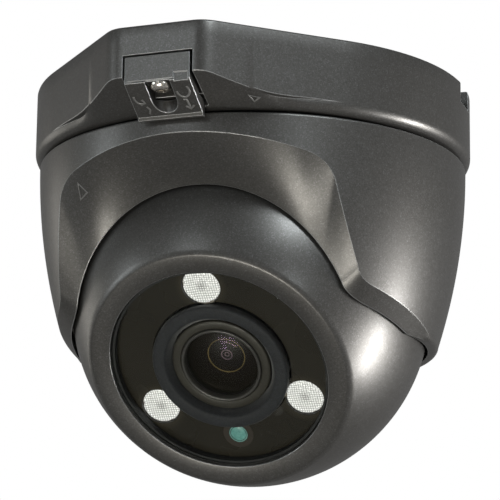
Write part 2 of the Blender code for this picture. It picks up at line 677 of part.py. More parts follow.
def build_window():
    glass = WINDOW_RADIUS - 0.25 * MM
    profile = [(0, 31.2 * MM), (glass, 31.2 * MM), (glass, 30.4 * MM), (0, 30.4 * MM)]
    turned("front_glass", profile, GLASS, 40, lens_axis)
    gasket = [(27.2, 30.1), (27.8, 30.1), (27.8, 28.3), (27.2, 28.3)]
    turned("glass_gasket", [(r * MM, z * MM) for r, z in gasket], RUBBER, 32, lens_axis)
    front, back = PANEL_FRONT, PANEL_FRONT - 1.2 * MM
    profile = [(17.9 * MM, front), (27.8 * MM, front), (27.8 * MM, back), (17.9 * MM, back)]
    panel = turned("smoked_panel", profile, SMOKED, 36, lens_axis)
    for i, turn in enumerate(LED_ANGLES):
        x, y = LED_CIRCLE * math.cos(turn), LED_CIRCLE * math.sin(turn)
        low, high = back - 1 * MM, front + 1 * MM
        hole = rod(f"led_hole_{i + 1}", 5.0 * MM, low, high, BLACK, (x, y), 16, lens_axis, cutters)
        boolean(panel, hole, solver="MANIFOLD")
    hood = [(14.0, 30.1), (17.1, 30.1), (17.5, 29.7), (17.5, 28.4)]
    hood += [(16.2, 28.0), (16.2, 24.6), (13.1, 24.6), (13.1, 28.3)]
    turned("lens_hood", [(r * MM, z * MM) for r, z in hood], RUBBER, 28, lens_axis)


def build_led_board():
    profile = [(16.4 * MM, 23.0 * MM), (26.6 * MM, 23.0 * MM), (26.6 * MM, 21.6 * MM), (16.4 * MM, 21.6 * MM)]
    turned("led_board", profile, BOARD_BLACK, 36, lens_axis)
    for i, turn in enumerate(LED_ANGLES):
        x, y = LED_CIRCLE * math.cos(turn), LED_CIRCLE * math.sin(turn)
        half = 1.7 * MM
        low, high = (x - half, y - half, 23.1 * MM), (x + half, y + half, 24.0 * MM)
        block(f"led_{i + 1}", low, high, LED_YELLOW, lens_axis, bevel=0.2 * MM)
        lens = [(0, 27.6), (4.5, 27.6), (4.8, 27.3), (4.8, 26.6), (3.9, 25.4), (2.6, 24.3), (0, 24.3)]
        piece = turned(f"led_lens_{i + 1}", [(r * MM, z * MM) for r, z in lens], CLEAR, 20, lens_axis)
        piece.location = (x, y, 0)
    turn = math.radians(-91.5)
    sensor = [(0, 26.5), (2.3, 26.5), (2.4, 26.3), (2.4, 23.2), (0, 23.2)]
    piece = turned("light_sensor", [(r * MM, z * MM) for r, z in sensor], TEAL, 16, lens_axis)
    piece.location = (20.4 * MM * math.cos(turn), 20.4 * MM * math.sin(turn), 0)


def build_lens():
    front = [(9.4, 28.0), (9.6, 28.9), (10.4, 28.9), (10.6, 28.5), (12.4, 28.5), (12.7, 28.2)]
    front += [(12.7, 14.0), (10.4, 14.0), (10.4, 27.0), (9.4, 27.0)]
    turned("front_group", [(r * MM, z * MM) for r, z in front], LENS_BLACK, 28, lens_axis)
    glass = arc_points((0, 6.4 * MM), 21.9 * MM, 65.5, 90, 4)[::-1] + [(9.0 * MM, 24.5 * MM), (0, 24.5 * MM)]
    turned("front_element", glass, GLASS, 28, lens_axis)
    focus = [(13.0, 13.6), (14.6, 13.6), (14.6, 8.4), (11.4, 8.4), (11.4, 13.6)]
    ring = turned("focus_ring", [(r * MM, z * MM) for r, z in focus], LENS_BLACK, 28, lens_axis)
    knob = rod("focus_knob", 1.2 * MM, 10 * MM, 12 * MM, BLACK, (0, 15.2 * MM), 12, lens_axis, cutters)
    boolean(ring, knob, "UNION")
    zoom = [(11.4, 5.6), (14.6, 5.6), (14.6, 0.4), (11.4, 0.4)]
    ring = turned("zoom_ring", [(r * MM, z * MM) for r, z in zoom], LENS_BLACK, 28, lens_axis)
    knob = rod("zoom_knob", 1.2 * MM, 2 * MM, 4 * MM, BLACK, (0, -15.2 * MM), 12, lens_axis, cutters)
    boolean(ring, knob, "UNION")
    body = [(9.2, 13.6), (11.1, 13.6), (11.1, 0.0), (14.0, 0.0), (14.0, -3.7)]
    body += [(7.0, -3.7), (7.0, -9.0), (5.5, -9.0), (5.5, -1.5), (9.2, -1.5)]
    turned("lens_body", [(r * MM, z * MM) for r, z in body], LENS_BLACK, 28, lens_axis)
    group = [(0, 11.0), (8.9, 11.0), (8.9, 2.0), (0, 2.0)]
    turned("zoom_group", [(r * MM, z * MM) for r, z in group], LENS_BLACK, 24, lens_axis)


def build_boards():
    depth = BRACKET_DEPTH
    profile = [(7.4 * MM, depth + 1.5 * MM), (35 * MM, depth + 1.5 * MM), (35 * MM, depth), (7.4 * MM, depth)]
    turned("bracket_plate", profile, ALUMINIUM, 36, lens_axis)
    for i, turn in enumerate(POST_TURNS):
        place = (POST_CIRCLE * math.cos(turn), POST_CIRCLE * math.sin(turn))
        rod(f"bracket_post_{i + 1}", 2.5 * MM, depth + 1.8 * MM, 24.4 * MM, ALUMINIUM, place, 6, lens_axis)
    half = 9 * MM
    mount = block("lens_mount", (-half, -half, -11.5 * MM), (half, half, depth - GAP), BLACK, lens_axis)
    bore = rod("lens_mount_bore", 7.3 * MM, -13 * MM, -4 * MM, BLACK, (0, 0), 32, lens_axis, cutters)
    boolean(mount, bore)
    frame = block("ir_cut_frame", (-half, -half, -16.2 * MM), (half, half, -11.8 * MM), BLACK, lens_axis)
    window = rod("ir_cut_window", 4.6 * MM, -18 * MM, -10 * MM, BLACK, (0, 0), 24, lens_axis, cutters)
    boolean(frame, window)
    low, high = (-14 * MM, -6 * MM, -14.9 * MM), (14 * MM, 6 * MM, -13.1 * MM)
    slot = block("ir_cut_slot", low, high, BLACK, lens_axis, cutters)
    boolean(frame, slot)
    block("ir_filter", (-6 * MM, -5.5 * MM, -14.5 * MM), (6 * MM, 5.5 * MM, -13.5 * MM), FILTER, lens_axis)
    side = BOARD_SIZE / 2
    block("sensor_board", (-side, -side, -21.0 * MM), (side, side, -19.4 * MM), BOARD, lens_axis)
    low, high = (-5 * MM, -4.2 * MM, -19.1 * MM), (5 * MM, 4.2 * MM, -17.6 * MM)
    block("image_sensor", low, high, BLACK, lens_axis, bevel=0.2 * MM)
    block("main_board", (-side, -side, -29.0 * MM), (side, side, -27.4 * MM), BOARD, lens_axis)
    block("board_connector", (-8 * MM, 10 * MM, -27.1 * MM), (8 * MM, 14 * MM, -21.3 * MM), BLACK, lens_axis)
    inset = side - 3 * MM
    corners = [(inset, inset), (-inset, inset), (-inset, -inset), (inset, -inset)]
    for i, corner in enumerate(corners):
        rod(f"board_standoff_{i + 1}", 2 * MM, -19.1 * MM, depth - GAP, STEEL, corner, 6, lens_axis)


build_base()
build_grommet()
build_lock()
build_cover()
build_seat()
build_clamp()
build_bayonet_ring()
build_shell()
build_rear_cap()
build_gland()
build_window()
build_led_board()
build_lens()
build_boards()
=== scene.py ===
"""Looks for the eyeball dome camera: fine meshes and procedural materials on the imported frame."""

import math

import bmesh
import bpy
from mathutils import Matrix, Vector


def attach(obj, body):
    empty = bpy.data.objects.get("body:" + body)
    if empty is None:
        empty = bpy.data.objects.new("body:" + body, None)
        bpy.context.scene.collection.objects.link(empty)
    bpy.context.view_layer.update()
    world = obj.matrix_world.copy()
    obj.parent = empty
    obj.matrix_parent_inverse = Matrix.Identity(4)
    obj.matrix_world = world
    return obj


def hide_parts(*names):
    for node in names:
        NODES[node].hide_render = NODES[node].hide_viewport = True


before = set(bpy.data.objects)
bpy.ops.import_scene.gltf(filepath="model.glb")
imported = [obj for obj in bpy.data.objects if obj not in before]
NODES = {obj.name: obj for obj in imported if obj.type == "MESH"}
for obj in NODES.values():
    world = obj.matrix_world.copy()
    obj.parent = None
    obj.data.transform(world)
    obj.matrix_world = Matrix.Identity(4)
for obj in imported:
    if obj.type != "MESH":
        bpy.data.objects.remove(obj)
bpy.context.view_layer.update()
MM = 0.001
BALL_CENTRE_Z = -55.3 * MM
LENS_TILT = math.radians(42.7)
LENS = Matrix.Translation((0, 0, BALL_CENTRE_Z)) @ Matrix.Rotation(math.pi / 2 + LENS_TILT, 4, "X")
WORLD = Matrix.Identity(4)
LED_PLACES = [(22.2 * math.cos(math.radians(a)), 22.2 * math.sin(math.radians(a))) for a in (90, -30, -150)]


# ---------------------------------------------------------------- materials

FLAKES_PER_METRE = 3900
CENTIMETRES = 100


class Maker:
    """Short ways to make and join shader nodes in one material."""

    def __init__(self, name):
        self.material = bpy.data.materials.new(name)
        self.material.use_nodes = True
        self.tree = self.material.node_tree
        self.shader = self.tree.nodes["Principled BSDF"]
        self.output = self.tree.nodes["Material Output"]
        self.coords = self.add("ShaderNodeTexCoord").outputs["Object"]

    def add(self, kind, **values):
        node = self.tree.nodes.new(kind)
        for key, value in values.items():
            setattr(node, key, value)
        return node

    def link(self, source, target):
        self.tree.links.new(source, target)

    def noise(self, scale, detail=2.0, roughness=0.5, stretch=None):
        node = self.add("ShaderNodeTexNoise")
        node.inputs["Scale"].default_value = scale
        node.inputs["Detail"].default_value = detail
        node.inputs["Roughness"].default_value = roughness
        source = self.coords
        if stretch is not None:
            mapping = self.add("ShaderNodeMapping")
            mapping.inputs["Scale"].default_value = stretch
            self.link(source, mapping.inputs["Vector"])
            source = mapping.outputs["Vector"]
        self.link(source, node.inputs["Vector"])
        return node.outputs["Fac"]

    def cells(self, scale):
        """A random colour for each small cell, as paint flakes have."""
        node = self.add("ShaderNodeTexVoronoi")
        node.inputs["Scale"].default_value = scale
        self.link(self.coords, node.inputs["Vector"])
        return node.outputs["Color"]

    def ramp(self, source, stops):
        node = self.add("ShaderNodeValToRGB")
        elements = node.color_ramp.elements
        elements[0].position, elements[0].color = stops[0][0], (*stops[0][1], 1)
        elements[1].position, elements[1].color = stops[-1][0], (*stops[-1][1], 1)
        for place, colour in stops[1:-1]:
            made = elements.new(place)
            made.color = (*colour, 1)
        self.link(source, node.inputs["Fac"])
        return node.outputs["Color"]

    def levels(self, source, low, high):
        node = self.add("ShaderNodeMapRange")
        node.inputs["To Min"].default_value = low
        node.inputs["To Max"].default_value = high
        self.link(source, node.inputs["Value"])
        return node.outputs["Result"]

    def math(self, operation, a, b=None):
        node = self.add("ShaderNodeMath", operation=operation)
        for i, value in enumerate((a, b)):
            if value is None:
                continue
            if isinstance(value, (int, float)):
                node.inputs[i].default_value = value
            else:
                self.link(value, node.inputs[i])
        return node.outputs["Value"]

    def mix(self, share, first, second):
        node = self.add("ShaderNodeMix", data_type="RGBA")
        self.link(share, node.inputs[0])
        for socket, value in ((node.inputs[6], first), (node.inputs[7], second)):
            if isinstance(value, tuple):
                socket.default_value = (*value, 1)
            else:
                self.link(value, socket)
        return node.outputs[2]

    def bump(self, height, strength, distance, normal=None):
        node = self.add("ShaderNodeBump")
        node.inputs["Strength"].default_value = strength
        node.inputs["Distance"].default_value = distance
        self.link(height, node.inputs["Height"])
        if normal is not None:
            self.link(normal, node.inputs["Normal"])
        return node.outputs["Normal"]

    def edges(self, radius, samples=6):
        """A rounded normal, and a mask that is 1 along sharp edges."""
        bevel = self.add("ShaderNodeBevel", samples=samples)
        bevel.inputs["Radius"].default_value = radius
        geometry = self.add("ShaderNodeNewGeometry")
        dot = self.add("ShaderNodeVectorMath", operation="DOT_PRODUCT")
        self.link(bevel.outputs["Normal"], dot.inputs[0])
        self.link(geometry.outputs["Normal"], dot.inputs[1])
        mask = self.add("ShaderNodeMapRange")
        mask.inputs["From Min"].default_value = 0.995
        mask.inputs["From Max"].default_value = 0.9
        self.link(dot.outputs["Value"], mask.inputs["Value"])
        return bevel.outputs["Normal"], mask.outputs["Result"]

    def set(self, **values):
        for key, value in values.items():
            socket = self.shader.inputs[key.replace("_", " ")]
            if isinstance(value, (int, float)):
                socket.default_value = value
            elif isinstance(value, tuple):
                socket.default_value = (*value, 1) if len(value) == 3 else value
            else:
                self.link(value, socket)
        return self


def graphite_paint():
    """Dark grey metallic paint: bright and dark flakes, faint orange peel, and a painted highlight along
    sharp edges.
    """
    m = Maker("graphite_paint_fine")
    flakes = m.cells(FLAKES_PER_METRE)
    value = m.add("ShaderNodeSeparateColor")
    m.link(flakes, value.inputs["Color"])
    sparkle = m.ramp(value.outputs["Red"], [(0, (0.044, 0.043, 0.040)), (0.5, (0.074, 0.073, 0.069)),
                                            (0.9, (0.105, 0.105, 0.103)), (1, (0.17, 0.172, 0.175))])
    cloud = m.ramp(m.noise(38, 3), [(0.3, (0.070, 0.068, 0.063)), (0.7, (0.079, 0.078, 0.074))])
    colour = m.mix(m.levels(m.noise(1500, 2, 0.6), 0.15, 0.6), cloud, sparkle)
    normal, mask = m.edges(0.35 * MM)
    # Painted highlight: the colour is lightened towards pale grey along sharp edges, for the bright line that
    # light draws along rounded edges.
    colour = m.mix(m.math("MULTIPLY", mask, 0.95), colour, (0.40, 0.41, 0.41))
    peel = m.math("ADD", m.math("MULTIPLY", m.noise(420, 2), 0.6), m.math("MULTIPLY", m.noise(1900, 2), 0.4))
    m.set(Base_Color=colour, Metallic=0.72, Roughness=m.levels(m.noise(900, 2), 0.33, 0.43),
          Coat_Weight=0.1, Coat_Roughness=0.2, Normal=m.bump(peel, 0.14, 0.05 * MM, normal))
    return m.material


def foam_rubber():
    m = Maker("foam_rubber")
    grain = m.noise(1600, 3, 0.65)
    colour = m.ramp(grain, [(0.3, (0.0075, 0.0082, 0.0105)), (0.7, (0.022, 0.025, 0.032))])
    m.set(Base_Color=colour, Roughness=m.levels(m.noise(700), 0.55, 0.8), Sheen_Weight=0.25,
          Sheen_Roughness=0.5, Normal=m.bump(grain, 0.7, 0.12 * MM))
    return m.material


def moulded(name, dark, light, roughness=(0.4, 0.55), grain=900, metallic=0.0):
    m = Maker(name)
    cloud = m.noise(grain / 8, 3)
    fine = m.noise(grain, 2)
    both = m.math("ADD", m.math("MULTIPLY", cloud, 0.5), m.math("MULTIPLY", fine, 0.5))
    normal, _ = m.edges(0.12 * MM, 4)
    m.set(Base_Color=m.ramp(both, [(0.35, dark), (0.65, light)]), Metallic=metallic,
          Roughness=m.levels(cloud, *roughness), Normal=m.bump(fine, 0.2, 0.03 * MM, normal))
    return m.material


def bright_metal(name, dark, light, roughness=(0.16, 0.34), stretch=(40, 40, 900)):
    m = Maker(name)
    brushed = m.noise(60, 3, 0.6, stretch)
    normal, _ = m.edges(0.08 * MM, 4)
    m.set(Base_Color=m.ramp(brushed, [(0.3, dark), (0.7, light)]), Metallic=1.0,
          Roughness=m.levels(brushed, *roughness), Normal=m.bump(brushed, 0.12, 0.02 * MM, normal))
    return m.material


def circuit_board(name, mask_dark, mask_light, track):
    m = Maker(name)
    steps = m.add("ShaderNodeTexBrick")
    steps.inputs["Scale"].default_value = 260
    steps.inputs["Mortar Size"].default_value = 0.035
    steps.inputs["Color1"].default_value = (0, 0, 0, 1)
    steps.inputs["Color2"].default_value = (0, 0, 0, 1)
    steps.inputs["Mortar"].default_value = (1, 1, 1, 1)
    m.link(m.coords, steps.inputs["Vector"])
    cloud = m.ramp(m.noise(150, 3), [(0.3, mask_dark), (0.7, mask_light)])
    m.set(Base_Color=m.mix(steps.outputs["Fac"], cloud, track), Roughness=m.levels(m.noise(300), 0.3, 0.45),
          Normal=m.bump(steps.outputs["Fac"], 0.3, 0.03 * MM))
    return m.material


def window_glass():
    """Clear cover glass: mostly seen through, with its reflections and the faintest dust."""
    m = Maker("window_glass")
    dust = m.ramp(m.noise(240, 2, 0.5), [(0.70, (0, 0, 0)), (0.74, (1, 1, 1))])
    clear = m.add("ShaderNodeBsdfTransparent")
    clear.inputs["Color"].default_value = (0.90, 0.91, 0.90, 1)
    gloss = m.add("ShaderNodeBsdfGlossy")
    gloss.inputs["Roughness"].default_value = 0.02
    fresnel = m.add("ShaderNodeFresnel")
    fresnel.inputs["IOR"].default_value = 1.17
    first = m.add("ShaderNodeMixShader")
    m.link(fresnel.outputs["Fac"], first.inputs[0])
    m.link(clear.outputs[0], first.inputs[1])
    m.link(gloss.outputs[0], first.inputs[2])
    m.set(Base_Color=(0.5, 0.5, 0.48), Roughness=0.6)
    second = m.add("ShaderNodeMixShader")
    m.link(m.math("MULTIPLY", dust, 0.02), second.inputs[0])
    m.link(first.outputs[0], second.inputs[1])
    m.link(m.shader.outputs[0], second.inputs[2])
    m.link(second.outputs[0], m.output.inputs["Surface"])
    return m.material


def smoked_plastic():
    """Brown-black panel. The LED cups under it show through as faint rings, painted into its colour as
    lighter rings for the lit cup walls.
    """
    m = Maker("smoked_plastic_fine")
    cloud = m.noise(45, 3)
    colour = m.ramp(cloud, [(0.3, (0.0180, 0.0150, 0.0090)), (0.7, (0.0240, 0.0203, 0.0125))])
    # Painted light: a lighter ring around each LED, for the lit cup walls seen through the smoke.
    for x, y in LED_PLACES:
        away = m.add("ShaderNodeVectorMath", operation="DISTANCE")
        away.inputs[1].default_value = LENS @ Vector((x * MM, y * MM, 28 * MM))
        m.link(m.coords, away.inputs[0])
        stops = [(0.50, (0, 0, 0)), (0.53, (0.9, 0.9, 0.9)), (0.60, (0.4, 0.4, 0.4)), (0.69, (0, 0, 0))]
        ring = m.ramp(m.math("MULTIPLY", away.outputs["Value"], CENTIMETRES), stops)
        colour = m.mix(ring, colour, (0.046, 0.039, 0.026))
    m.set(Base_Color=colour, Roughness=m.levels(m.noise(60), 0.24, 0.30))
    return m.material


def faceted_lens():
    """White LED lens: a pressed grid of fine lines over a bright cup, darker over the chip in its middle,
    with a painted glow of its own colour.
    """
    m = Maker("faceted_lens_fine")
    lines = []
    for direction, scale in (("X", 520), ("Z", 680)):
        wave = m.add("ShaderNodeTexWave", bands_direction=direction)
        wave.inputs["Scale"].default_value = scale
        wave.inputs["Distortion"].default_value = 2.2
        wave.inputs["Detail"].default_value = 1
        wave.inputs["Detail Scale"].default_value = 0.35
        m.link(m.coords, wave.inputs["Vector"])
        lines.append(wave.outputs["Fac"])
    grid = m.math("MINIMUM", *lines)
    shades = [(0.02, (0.34, 0.335, 0.33)), (0.18, (0.80, 0.80, 0.79)), (0.45, (0.97, 0.97, 0.96))]
    shade = m.ramp(grid, shades)
    for x, y in LED_PLACES:
        away = m.add("ShaderNodeVectorMath", operation="DISTANCE")
        away.inputs[1].default_value = LENS @ Vector((x * MM, y * MM, 27.4 * MM))
        m.link(m.coords, away.inputs[0])
        chip = m.ramp(m.math("MULTIPLY", away.outputs["Value"], CENTIMETRES),
                      [(0.03, (0.6, 0.6, 0.6)), (0.19, (0, 0, 0))])
        shade = m.mix(m.math("MULTIPLY", chip, m.math("SUBTRACT", 1.2, grid)), shade, (0.17, 0.165, 0.16))
    # Painted glow: the lens emits its own colour, though it is no lamp, so that it reads bright.
    m.set(Base_Color=shade, Roughness=m.levels(m.noise(600), 0.1, 0.2), Coat_Weight=0.5, Coat_Roughness=0.08,
          Normal=m.bump(grid, 0.4, 0.1 * MM), Emission_Color=shade, Emission_Strength=0.55)
    return m.material


def coated_lens():
    """The front element: dark glass with a purple and green coating."""
    m = Maker("coated_lens")
    clear = m.add("ShaderNodeBsdfTransparent")
    clear.inputs["Color"].default_value = (0.80, 0.76, 0.68, 1)
    gloss = m.add("ShaderNodeBsdfGlossy")
    gloss.inputs["Roughness"].default_value = 0.04
    layer = m.add("ShaderNodeLayerWeight")
    layer.inputs["Blend"].default_value = 0.35
    tint = m.ramp(layer.outputs["Facing"],
                  [(0, (0.55, 0.30, 0.75)), (0.45, (0.30, 0.55, 0.38)), (1, (0.8, 0.55, 0.3))])
    m.link(tint, gloss.inputs["Color"])
    fresnel = m.add("ShaderNodeFresnel")
    fresnel.inputs["IOR"].default_value = 1.15
    depth = m.ramp(m.noise(200), [(0.3, (0.016, 0.013, 0.008)), (0.7, (0.022, 0.018, 0.012))])
    m.set(Base_Color=depth, Roughness=0.4)
    body = m.add("ShaderNodeMixShader")
    body.inputs[0].default_value = 0.25
    m.link(clear.outputs[0], body.inputs[1])
    m.link(m.shader.outputs[0], body.inputs[2])
    mix = m.add("ShaderNodeMixShader")
    m.link(fresnel.outputs["Fac"], mix.inputs[0])
    m.link(body.outputs[0], mix.inputs[1])
    m.link(gloss.outputs[0], mix.inputs[2])
    m.link(mix.outputs[0], m.output.inputs["Surface"])
    return m.material


def painted_reflection(name, dark, light):
    """A thin ring that stands for the light caught on an inner lens surface."""
    m = Maker(name)
    shade = m.ramp(m.noise(260, 2), [(0.35, dark), (0.65, light)])
    m.set(Base_Color=shade, Roughness=m.levels(m.noise(500), 0.2, 0.3),
          Emission_Color=shade, Emission_Strength=1.0)
    return m.material


PAINT = graphite_paint()
FOAM = foam_rubber()
RUBBER = moulded("black_rubber_fine", (0.010, 0.011, 0.012), (0.021, 0.022, 0.023), (0.55, 0.75), 700)
BLACK = moulded("black_moulding", (0.010, 0.010, 0.0095), (0.021, 0.020, 0.019), (0.35, 0.5))
NYLON = moulded("nylon_moulding", (0.60, 0.575, 0.52), (0.72, 0.70, 0.64), (0.35, 0.5))
BARREL = moulded("lens_barrel", (0.038, 0.034, 0.026), (0.050, 0.046, 0.036), (0.34, 0.46), 1100, 0.1)
BARREL_EDGE = moulded("lens_barrel_rim", (0.085, 0.082, 0.078), (0.115, 0.11, 0.104), (0.25, 0.35), 900, 0.4)
STEEL = bright_metal("stainless_fine", (0.52, 0.49, 0.43), (0.78, 0.75, 0.70))
ALUMINIUM = bright_metal("aluminium_fine", (0.55, 0.55, 0.56), (0.72, 0.72, 0.73), (0.3, 0.45),
                         (300, 20, 300))
CUP = bright_metal("silvered_cup", (0.30, 0.27, 0.22), (0.48, 0.44, 0.37), (0.2, 0.35), (60, 60, 60))
BOARD_GREEN = circuit_board("board_green_fine", (0.010, 0.05, 0.02), (0.016, 0.075, 0.03), (0.03, 0.13, 0.06))
BOARD_BLACK = circuit_board("board_black_fine", (0.008, 0.008, 0.008), (0.014, 0.014, 0.014),
                            (0.03, 0.03, 0.028))
GLASS = window_glass()
SMOKED = smoked_plastic()
FACETED = faceted_lens()
COATED = coated_lens()
EMITTER = moulded("led_emitter", (0.62, 0.50, 0.18), (0.85, 0.74, 0.38), (0.25, 0.35), 800)
TEAL = moulded("sensor_teal_fine", (0.150, 0.405, 0.375), (0.255, 0.600, 0.555), (0.15, 0.3), 1400)
TEAL_RIM = moulded("sensor_rim", (0.20, 0.42, 0.40), (0.28, 0.56, 0.53), (0.2, 0.3), 1400)
SENSOR_WINDOW = moulded("sensor_window", (0.047, 0.038, 0.030), (0.058, 0.048, 0.038), (0.25, 0.35), 900)
FILTER = moulded("filter_glass_fine", (0.18, 0.36, 0.40), (0.26, 0.50, 0.52), (0.06, 0.12), 500)
GOLD_GLOW = painted_reflection("gold_reflection", (0.16, 0.13, 0.06), (0.30, 0.25, 0.13))
VIOLET_GLOW = painted_reflection("violet_reflection", (0.13, 0.10, 0.17), (0.26, 0.20, 0.30))
BORE = moulded("lens_bore", (0.010, 0.0085, 0.006), (0.016, 0.013, 0.009), (0.5, 0.6), 900)

KEPT = {
    RUBBER: ["cable_grommet", "friction_ring", "cap_seal", "glass_gasket"],
    BLACK: ["clamp_ring", "lens_mount", "ir_cut_frame", "image_sensor", "board_connector"],
    NYLON: ["ball_seat", "lead_guide"],
    STEEL: ["bayonet_ring", "board_standoff_4"]
    + [f"{kind}_{i}" for kind in ("clamp_screw", "cap_screw", "board_standoff") for i in (1, 2, 3)],
    ALUMINIUM: ["bracket_plate"] + [f"{kind}_post_{i}" for kind in ("bracket", "cap") for i in (1, 2, 3)],
    BOARD_GREEN: ["sensor_board", "main_board"],
    BOARD_BLACK: ["led_board"],
    BARREL: ["focus_ring", "zoom_ring", "lens_body", "zoom_group"],
    EMITTER: ["led_1", "led_2", "led_3"],
    FILTER: ["ir_filter"],
}
for material, names in KEPT.items():
    for name in names:
        NODES[name].data.materials.clear()
        NODES[name].data.materials.append(material)


# ---------------------------------------------------------------- mesh helpers


def from_bmesh(shape, name, material, place=WORLD, smooth=35):
    bmesh.ops.recalc_face_normals(shape, faces=shape.faces[:])
    mesh = bpy.data.meshes.new(name)
    shape.to_mesh(mesh)
    shape.free()
    mesh.transform(place)
    mesh.materials.append(material)
    mesh.shade_smooth()
    mesh.set_sharp_from_angle(angle=math.radians(smooth))
    obj = bpy.data.objects.new(name, mesh)
    bpy.context.scene.collection.objects.link(obj)
    return obj


def loft(rows, name, material, place=WORLD, around=True, capped=False, smooth=35):
    """Faces between rows of points, each a closed loop. around also joins the last row to the first."""
    shape = bmesh.new()
    made = [[shape.verts.new(p) for p in row] for row in rows]
    pairs = list(zip(made, made[1:]))
    if around:
        pairs.append((made[-1], made[0]))
    for here, there in pairs:
        for i in range(len(here)):
            j = (i + 1) % len(here)
            shape.faces.new([here[i], here[j], there[j], there[i]])
    if capped:
        shape.faces.new(made[0])
        shape.faces.new(made[-1])
    return from_bmesh(shape, name, material, place, smooth)


def turned(name, profile, material, steps=128, place=WORLD, smooth=35):
    """A solid of revolution about Z from a closed (radius, height) loop in millimetres."""
    shape = bmesh.new()
    rings = []
    turns = [2 * math.pi * i / steps for i in range(steps)]
    for radius, height in profile:
        if radius < 1e-5:
            rings.append([shape.verts.new((0, 0, height * MM))])
            continue
        points = [(radius * MM * math.cos(t), radius * MM * math.sin(t), height * MM) for t in turns]
        rings.append([shape.verts.new(point) for point in points])
    for ring, after in zip(rings, rings[1:] + rings[:1]):
        for i in range(steps):
            j = (i + 1) % steps
            corners = [ring[i % len(ring)], ring[j % len(ring)], after[j % len(after)], after[i % len(after)]]
            corners = list(dict.fromkeys(corners))
            if len(corners) > 2:
                shape.faces.new(corners)
    return from_bmesh(shape, name, material, place, smooth)


def rod(name, radius, low, high, x=0, y=0, steps=48, place=WORLD):
    """A cylinder, used as a cutter."""
    profile = [(0, low), (radius, low), (radius, high), (0, high)]
    return turned(name, profile, BLACK, steps, place @ Matrix.Translation((x * MM, y * MM, 0)))


def prism(name, outline, x_low, x_high, material):
    rows = [[(x * MM, y * MM, z * MM) for y, z in outline] for x in (x_low, x_high)]
    return loft(rows, name, material, around=False, capped=True)


def sector(name, inner, outer, low, high, start, end, steps=12):
    rows = []
    for i in range(steps + 1):
        turn = math.radians(start + (end - start) * i / steps)
        ring = [(inner, low), (outer, low), (outer, high), (inner, high)]
        rows.append([(r * MM * math.sin(turn), -r * MM * math.cos(turn), z * MM) for r, z in ring])
    return loft(rows, name, BLACK, around=False, capped=True)


def cut(obj, *others, operation="DIFFERENCE", solver="EXACT"):
    """Applies a Boolean with each of the others, and removes them."""
    for other in others:
        step = obj.modifiers.new("cut", "BOOLEAN")
        step.operation, step.solver, step.object = operation, solver, other
        bpy.context.view_layer.update()
        made = bpy.data.meshes.new_from_object(obj.evaluated_get(bpy.context.evaluated_depsgraph_get()))
        obj.modifiers.clear()
        obj.data = made
        bpy.data.objects.remove(other)
    obj.data.shade_smooth()
    obj.data.set_sharp_from_angle(angle=math.radians(35))
    while len(obj.data.materials) > 1:
        obj.data.materials.pop()
    for face in obj.data.polygons:
        face.material_index = 0
    return obj


def arc(centre, radius, start, end, count):
    """Points on a circle in (radius, height), angles in degrees from +radius towards +height."""
    turns = [math.radians(start + (end - start) * i / count) for i in range(count + 1)]
    return [(centre[0] + radius * math.cos(t), centre[1] + radius * math.sin(t)) for t in turns]


def sphere(radius, high, low, count):
    start, end = math.degrees(math.asin(high / radius)), math.degrees(math.asin(low / radius))
    return arc((0, 0), radius, start, end, count)


def place_piece(obj, body, slot, *replaced):
    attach(obj, body)
    if replaced:
        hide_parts(*replaced)
    return obj


# ---------------------------------------------------------------- base

BASE_R, BASE_LOW, LOBE_REACH, LOBE_EDGE, LOBE_SLOPE = 56.5, -18.9, 66.9, -13.2, 0.496
LOBE_ANGLE = math.radians(43.8)
TOP_ROUND, FOOT_ROUND = 0.6, 2.8
SCREW_Y = -63.3


def base_outline(turn):
    turn = abs(turn)
    if turn > LOBE_ANGLE:
        return BASE_R
    flank, front, width = BASE_R / math.cos(LOBE_ANGLE - turn), LOBE_REACH / math.cos(turn), 2.2
    blend = max(width - abs(flank - front), 0) / width
    return min(flank, front) - blend * blend * width / 4


def base_column(turn):
    radius = base_outline(turn)
    weight = min(max((radius - BASE_R) / 6, 0), 1)
    weight = weight * weight * (3 - 2 * weight)
    edge_z = LOBE_EDGE - LOBE_SLOPE * (LOBE_REACH - radius)
    foot = radius - (edge_z - BASE_LOW) / LOBE_SLOPE
    column = [(radius - TOP_ROUND, 0)]
    for angle in (0.5, 1.0, 1.57):
        column.append((radius - TOP_ROUND * (1 - math.sin(angle)), -TOP_ROUND * (1 - math.cos(angle))))
    column.append((radius, -4))
    count = 12
    for i in range(count + 1):
        share = i / count
        angle = share * math.pi / 2
        round_r = BASE_R - FOOT_ROUND * (1 - math.cos(angle))
        round_z = BASE_LOW + FOOT_ROUND * (1 - math.sin(angle))
        slope_r, slope_z = radius + (foot - radius) * share, edge_z + (BASE_LOW - edge_z) * share
        if i == 0:
            column.append((radius, round_z + (slope_z + 0.35 - round_z) * weight))
        column.append((round_r + (slope_r - round_r) * weight, round_z + (slope_z - round_z) * weight))
    return column + [(51.1, BASE_LOW), (50.8, BASE_LOW + 0.3), (50.8, -17.2), (54.5, -17.2), (54.5, -2.6)]


